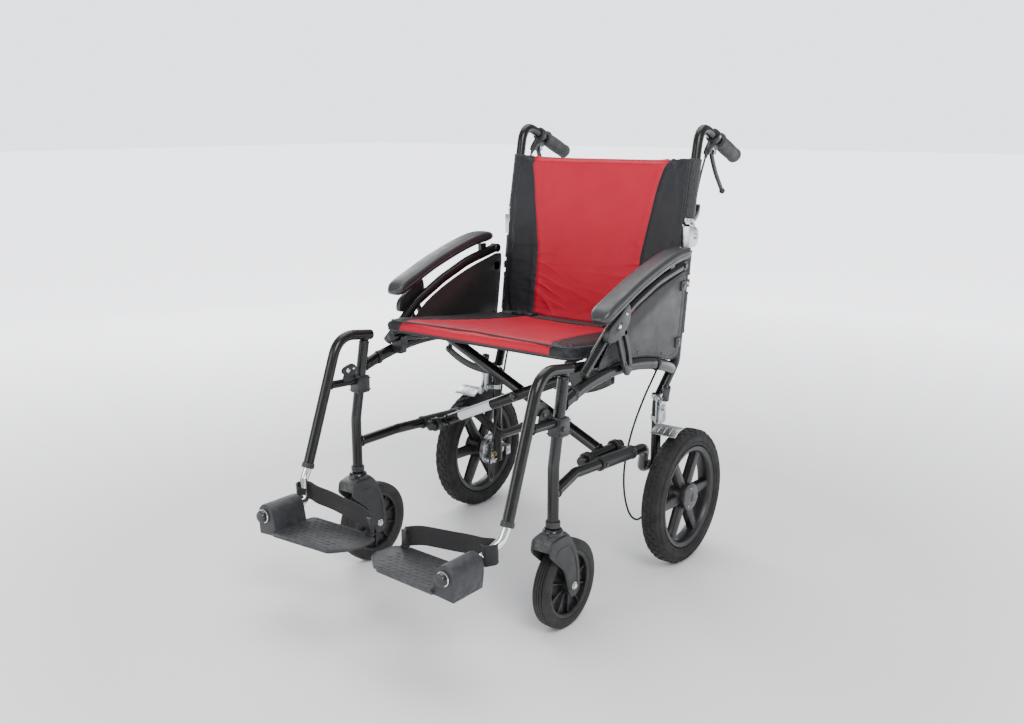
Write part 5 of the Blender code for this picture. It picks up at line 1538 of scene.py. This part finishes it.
def seat_cushion():
    mesh = bmesh.new()
    rows = []
    for inset, share in ((0.02, 0.0), (0.004, 0.06), (0.0, 0.3), (0.0, 0.62), (0.005, 0.9), (0.024, 1.0)):
        row = []
        for c in seat_outline(inset, 0.03):
            z = seat_z(c.y, SEAT_UNDER + (SEAT_OVER - SEAT_UNDER) * share)
            row.append(mesh.verts.new((c.x, c.y, z)))
        rows.append(row)
    count = len(rows[0])
    for first, second in zip(rows, rows[1:]):
        for k in range(count):
            mesh.faces.new((first[k], first[(k + 1) % count], second[(k + 1) % count], second[k]))
    mesh.faces.new(rows[0][::-1])
    mesh.faces.new(rows[-1])
    bmesh.ops.recalc_face_normals(mesh, faces=mesh.faces)
    obj = shell_object("seat_base", mesh)
    remeshed(obj, 0.0055)
    stuffed(obj, lambda x, y, z: z < seat_z(y, SEAT_UNDER + 0.004), 0.0045, 4.0)
    subdivided(obj)

    def height(c):
        if c.z < seat_z(c.y, SEAT_UNDER + 0.012):
            return 0.0
        gap = abs(abs(c.x) - seat_seam(c.y))
        groove = -0.0016 * math.exp(-((gap / 0.004) ** 2))
        beside_groove = 0.0009 * math.exp(-(((gap - 0.01) / 0.008) ** 2))
        lines = noise.noise(Vector((c.x * 9, c.y * 26, 3.0)))
        slack = noise.noise(Vector((c.x * 6 + 4, c.y * 7, 1.0)))
        near = math.exp(-gap / 0.035)
        sag = -0.0045 * max(0.0, 1 - (c.x / 0.21) ** 2) * max(0.0, 1 - ((c.y - 0.05) / 0.19) ** 2)
        rear = max(0.0, c.y - 0.15) / 0.09
        pressed = -0.0022 * math.exp(-(((c.y - 0.216) / 0.022) ** 4))
        gathers = noise.noise(Vector((c.x * 22, c.y * 8, 7.0)))
        creases = 0.0013 * near * (ridge(lines * 2.2) - 0.35) + 0.0014 * rear * (ridge(gathers * 2) - 0.4)
        return pressed + groove + beside_groove + sag + 0.0008 * slack + creases

    displaced(obj, height)
    tree = tree_of(obj)
    p = Piece("seat_cushion", "nylon")
    take_object(p, obj)
    for way in (1, -1):
        places = [SEAT_FRONT + 0.016 + (SEAT_REAR - SEAT_FRONT - 0.03) * k / 79 for k in range(80)]
        for offset in (0, STITCH_GAP):
            starts = [(way * (seat_seam(y) + offset), y, 0.7) for y in places]
            sewn(p, [onto(tree, start, (0, 0, -1)) for start in starts], stitched=offset)
    for share, radius in ((0.86, 0.0019), (0.16, 0.0015), (0.7, 0)):
        loop = []
        outline = smooth_path(seat_outline(-0.02, 0.045), 2, closed=True)
        for c in outline:
            middle = Vector((max(-0.19, min(0.19, c.x)), max(-0.11, min(0.19, c.y)), 0))
            middle.z = seat_z(c.y, SEAT_UNDER + (SEAT_OVER - SEAT_UNDER) * share)
            start = Vector((c.x, c.y, middle.z))
            hit = onto(tree, start, middle - start, 0.0004)
            if hit:
                loop.append(hit)
        if radius:
            p.paint("charcoal").sweep(loop, ring(radius, 8), closed=True)
        else:
            sewn(p, loop, stitched=True)
    p.paint("charcoal")
    for y in (-0.12, -0.02, 0.08, 0.18):
        for way in (1, -1):
            z = seat_z(y, 0.0)
            low, high = way * 0.2205, way * 0.234
            p.box((low, y - 0.024, z + 0.0096), (high, y + 0.024, z + 0.0142), 0.0014)
    obj = p.stand(sharp=60)

    def inside(x, y, z):
        above = z - seat_z(y, SEAT_UNDER + 0.0055)
        return min(seat_seam(y) - abs(x), above, SEAT_REAR - 0.006 - y)

    zoned(obj, inside)
    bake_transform(obj)


BACK_BOTTOM, BACK_TOP, BACK_HALF = 0.489, 0.88, 0.235
SPLIT_Z = 0.712  # where the upper half folds down


def back_front(z):
    """Y of the back's front face at height z, at its edges."""
    return float(np.interp(z, (0.505, 0.7, 0.782, 0.88), (0.248, 0.272, 0.283, 0.301)))


def back_sleeves(side, s):
    """The knitted sleeves that hold the back to its posts."""
    runs = (
        ("side_" + side, on_post, ((0.504, 0.594), (0.63, 0.684)), "charcoal"),
        ("back_" + side, on_handle, ((0.752, 0.877),), "spacer"),
    )
    for body, along, spans, material in runs:
        p = Piece(f"back_sleeve_{body}", material, extra=True)
        for low_z, high_z in spans:
            low, high = along(s, low_z), along(s, high_z)
            length = (high - low).length
            sleeve = [(0.0113, 0.0), (0.0136, 0.0), (0.0142, 0.0012), (0.0142, 0.005), (0.0137, 0.0064)]
            folds = max(2, round(length / 0.022))
            for i in range(1, folds):
                h = length * i / folds
                sleeve += [(0.0137, h - 0.003), (0.0133 + 0.0002 * (i % 2), h), (0.0137, h + 0.003)]
            sleeve += [(0.0137, length - 0.0064), (0.0142, length - 0.005), (0.0142, length - 0.0012)]
            p.lathe(sleeve + [(0.0136, length), (0.0113, length)], low, high - low, 36)
            corners = ((low_z, 0.0045), (high_z, 0.0045), (high_z, 0.015), (low_z, 0.015))
            flap = [at(s, 0.227, back_front(z) + y, z) for z, y in corners]
            p.slab(flap, (s * 0.0075, 0, 0), 0.0008)
            seam = [low.lerp(high, k / 12) + Vector((0, -0.0138, 0)) for k in range(13)]
            p.sweep(seam, ring(0.0009, 8))
        p.ride(body)


def back_upholstery():
    mesh = bmesh.new()
    levels, columns = 40, 26
    rows = {1: [], -1: []}
    for i in range(levels + 1):
        z = BACK_BOTTOM + (BACK_TOP - BACK_BOTTOM) * i / levels
        edge = min(i, levels - i) / levels
        thick = 0.0074 * min(1.0, (edge / 0.03 + 0.25) ** 0.6)
        for face in (1, -1):
            row = []
            for k in range(columns + 1):
                t = -1 + 2 * k / columns
                x = BACK_HALF * t
                round_off = (1 - abs(t) ** 8) ** 0.5 if abs(t) < 1 else 0.0
                sag = 0.0105 * (1 - t * t)
                tuck = 0.0065 * max(0.0, 1 - (z - BACK_BOTTOM) / 0.03)
                share = 0.55 if face == -1 else 0.25
                y = back_front(z) - tuck - 0.004 * abs(t) ** 6 + 0.0078 + sag * share
                row.append(mesh.verts.new((x, y + face * thick * max(0.48, round_off), z)))
            rows[face].append(row)
    for face in (1, -1):
        for first, second in zip(rows[face], rows[face][1:]):
            for k in range(columns):
                mesh.faces.new((first[k], first[k + 1], second[k + 1], second[k]))
    front, rear = rows[-1], rows[1]
    for i in (0, -1):
        for k in range(columns):
            mesh.faces.new((front[i][k], front[i][k + 1], rear[i][k + 1], rear[i][k]))
    for k in (0, -1):
        for i in range(levels):
            mesh.faces.new((front[i][k], front[i + 1][k], rear[i + 1][k], rear[i][k]))
    bmesh.ops.recalc_face_normals(mesh, faces=mesh.faces)
    obj = shell_object("back_base", mesh)
    remeshed(obj, 0.0045)
    stuffed(obj, lambda x, y, z: abs(x) > 0.222, 0.005, 3.0)
    subdivided(obj)

    def height(c):
        side = abs(c.x)
        if side > 0.226:
            return 0.0003 * noise.noise(c * 60)
        gap = abs(side - back_seam(c.z))
        groove = -0.0015 * math.exp(-((gap / 0.0036) ** 2))
        beside_groove = 0.001 * math.exp(-(((gap - 0.009) / 0.007) ** 2))
        low = max(0.0, 1 - (c.z - 0.505) / 0.2)
        tilt = Vector((side * 16 - c.z * 30, side * 5 + c.z * 9, 2.0 if c.x > 0 else 5.0))
        folds = (ridge(noise.noise(tilt) * 2.4) - 0.4) * math.exp(-((side - 0.13) / 0.055) ** 2)
        cross = ridge(noise.noise(Vector((c.x * 7, c.z * 34, 9.0))) * 2.2) - 0.4
        waist = math.exp(-((c.z - 0.66) / 0.05) ** 2) * math.exp(-((side - 0.15) / 0.05) ** 2)
        broad = noise.noise(Vector((c.x * 6, c.z * 6, 4.0)))
        folded = 0.0026 * low * folds + 0.0016 * waist * cross
        return groove + beside_groove + folded + 0.001 * broad + 0.0008 * low * cross

    displaced(obj, height)
    tree = tree_of(obj)
    p = Piece("back_full", "nylon", extra=True)
    take_object(p, obj)
    for way in (1, -1):
        places = [BACK_BOTTOM + 0.01 + (BACK_TOP - BACK_BOTTOM - 0.022) * k / 89 for k in range(90)]
        for offset in (0, STITCH_GAP):
            starts = [(way * (back_seam(z) + offset), 0, z) for z in places]
            sewn(p, [onto(tree, start, (0, 1, 0)) for start in starts], stitched=offset)
    for z in (BACK_TOP - 0.0085, BACK_TOP - 0.016, BACK_BOTTOM + 0.012):
        starts = [(-0.225 + 0.45 * k / 150, 0, z) for k in range(151)]
        sewn(p, [onto(tree, start, (0, 1, 0)) for start in starts], stitched=True)
    obj = p.object(sharp=60)
    zoned(obj, lambda x, y, z: min(back_seam(z) - abs(x), back_front(z) + 0.0115 - y))
    for part, keep_above, body in (("lower", False, "side_right"), ("upper", True, "back_right")):
        mesh = bmesh.new()
        mesh.from_mesh(obj.data)
        everything = mesh.verts[:] + mesh.edges[:] + mesh.faces[:]
        cut = bmesh.ops.bisect_plane(
            mesh, geom=everything, plane_co=(0, 0, SPLIT_Z), plane_no=(0, 0, 1),
            clear_inner=keep_above, clear_outer=not keep_above,
        )["geom_cut"]
        rim = [e for e in cut if isinstance(e, bmesh.types.BMEdge)]
        cap = bmesh.ops.holes_fill(mesh, edges=rim, sides=0)["faces"]
        for edge in rim:
            edge.smooth = False
        for face in cap:
            face.smooth = False
        data = bpy.data.meshes.new("back_" + part)
        mesh.to_mesh(data)
        mesh.free()
        for material in obj.data.materials:
            data.materials.append(material)
        half = bpy.data.objects.new("back_upholstery_" + part, data)
        bpy.context.scene.collection.objects.link(half)
        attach(half, body)
        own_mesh(half)
        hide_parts("back_upholstery")
    bpy.data.objects.remove(obj)


def lap_belt():
    line = [(-0.216, 0.226), (-0.12, 0.218), (0.0, 0.212), (0.12, 0.208), (0.216, 0.22)]
    path = [Vector((x, y, seat_z(y, SEAT_OVER + 0.0036))) for x, y in line]
    p = Piece("lap_belt", "webbing")
    length = strap_row(p, path, (0, 1, 0), 0.015, 0.0008, 0.0009)
    belt = p.ride("side_right")
    p = Piece("belt_buckle", "plastic", extra=True)
    z = seat_z(0.219, SEAT_OVER + 0.0078)
    p.box((-0.172, 0.203, z - 0.005), (-0.143, 0.235, z + 0.005), 0.0028)
    p.box((-0.14, 0.205, z - 0.0045), (-0.112, 0.233, z + 0.0045), 0.0026)
    for y in (0.2075, 0.2305):
        p.box((-0.148, y - 0.0025, z - 0.003), (-0.134, y + 0.0025, z + 0.003), 0.0012)
    p.box((-0.166, 0.212, z + 0.0044), (-0.15, 0.226, z + 0.0062), 0.0008)
    for x in (0.09, 0.098):
        p.box((x, 0.193, z - 0.0052), (x + 0.003, 0.225, z + 0.0012), 0.001)
    buckle = p.ride("side_right")
    for obj in (belt, buckle):
        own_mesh(obj)


for side_name, sign in SIDES:
    back_sleeves(side_name, sign)
seat_cushion()
back_upholstery()
lap_belt()

# ---------------------------------------------------------------- stage, lights and camera


WHITE = 2.6  # strength of the backdrop as the camera sees it
AMBIENT = 0.55  # strength of the backdrop as a light
CAMERA_PLACE = (1.2918, -1.7055, 0.9616)
CAMERA_DOWN, CAMERA_TURN = 13.36, 37.43  # degrees


def stage_floor():
    """A pale floor that fades into the white backdrop away from the chair."""
    n = Nodes("floor", (0.86, 0.86, 0.86), 0.7)
    n.add("VectorMath", {0: n.stretched((1.0, 1.0, 0.0))}, operation="LENGTH")
    away = n.tree.nodes[-1].outputs["Value"]
    n.link(n.ramp(away, 0.9, 3.4, 0.0, WHITE), "Emission Strength")
    n.set("Emission Color", (0.93, 0.95, 1.0, 1))
    n.link(n.colours(n.noise(1.2), (0.93, 0.93, 0.935), (0.96, 0.96, 0.965)), "Base Color")
    n.link(n.bump(n.noise(60.0), 0.05, 0.001), "Normal")
    mesh = bmesh.new()
    bmesh.ops.create_grid(mesh, x_segments=4, y_segments=4, size=30)
    data = bpy.data.meshes.new("floor")
    mesh.to_mesh(data)
    mesh.free()
    data.materials.append(n.material)
    obj = bpy.data.objects.new("floor", data)
    bpy.context.scene.collection.objects.link(obj)


def area_light(name, place, aim, size, power, tint=(1, 1, 1)):
    data = bpy.data.lights.new(name, "AREA")
    data.shape = "RECTANGLE"
    data.size, data.size_y = size
    data.energy = power
    data.color = tint
    obj = bpy.data.objects.new(name, data)
    obj.location = place
    obj.rotation_euler = (Vector(aim) - Vector(place)).to_track_quat("-Z", "Y").to_euler()
    bpy.context.scene.collection.objects.link(obj)


def lights():
    world = bpy.data.worlds.new("studio")
    world.use_nodes = True
    tree = world.node_tree
    back = tree.nodes["Background"]
    back.inputs["Color"].default_value = (0.93, 0.95, 1.0, 1)
    seen = tree.nodes.new("ShaderNodeLightPath").outputs["Is Camera Ray"]
    power = tree.nodes.new("ShaderNodeMapRange")
    power.inputs["To Min"].default_value, power.inputs["To Max"].default_value = AMBIENT, WHITE
    tree.links.new(seen, power.inputs["Value"])
    tree.links.new(power.outputs[0], back.inputs["Strength"])
    bpy.context.scene.world = world
    area_light("key", (2.2, -1.6, 2.6), (0, 0, 0.5), (1.6, 1.6), 80)
    area_light("front", (-0.8, -2.8, 1.4), (0, 0, 0.5), (1.8, 1.4), 30, (1.0, 0.98, 0.96))
    area_light("top", (-0.4, 0.6, 3.0), (0, 0, 0.4), (2.4, 2.4), 60)
    area_light("rim", (-2.6, 1.4, 1.6), (0, 0, 0.5), (1.2, 1.8), 38, (0.95, 0.98, 1.0))


def camera():
    data = bpy.data.cameras.new("camera")
    data.lens, data.sensor_width = 36.0, 36.0
    obj = bpy.data.objects.new("camera", data)
    obj.location = CAMERA_PLACE
    obj.rotation_euler = (math.radians(90 - CAMERA_DOWN), 0, math.radians(CAMERA_TURN))
    bpy.context.scene.collection.objects.link(obj)
    bpy.context.scene.camera = obj


stage_floor()
lights()
camera()
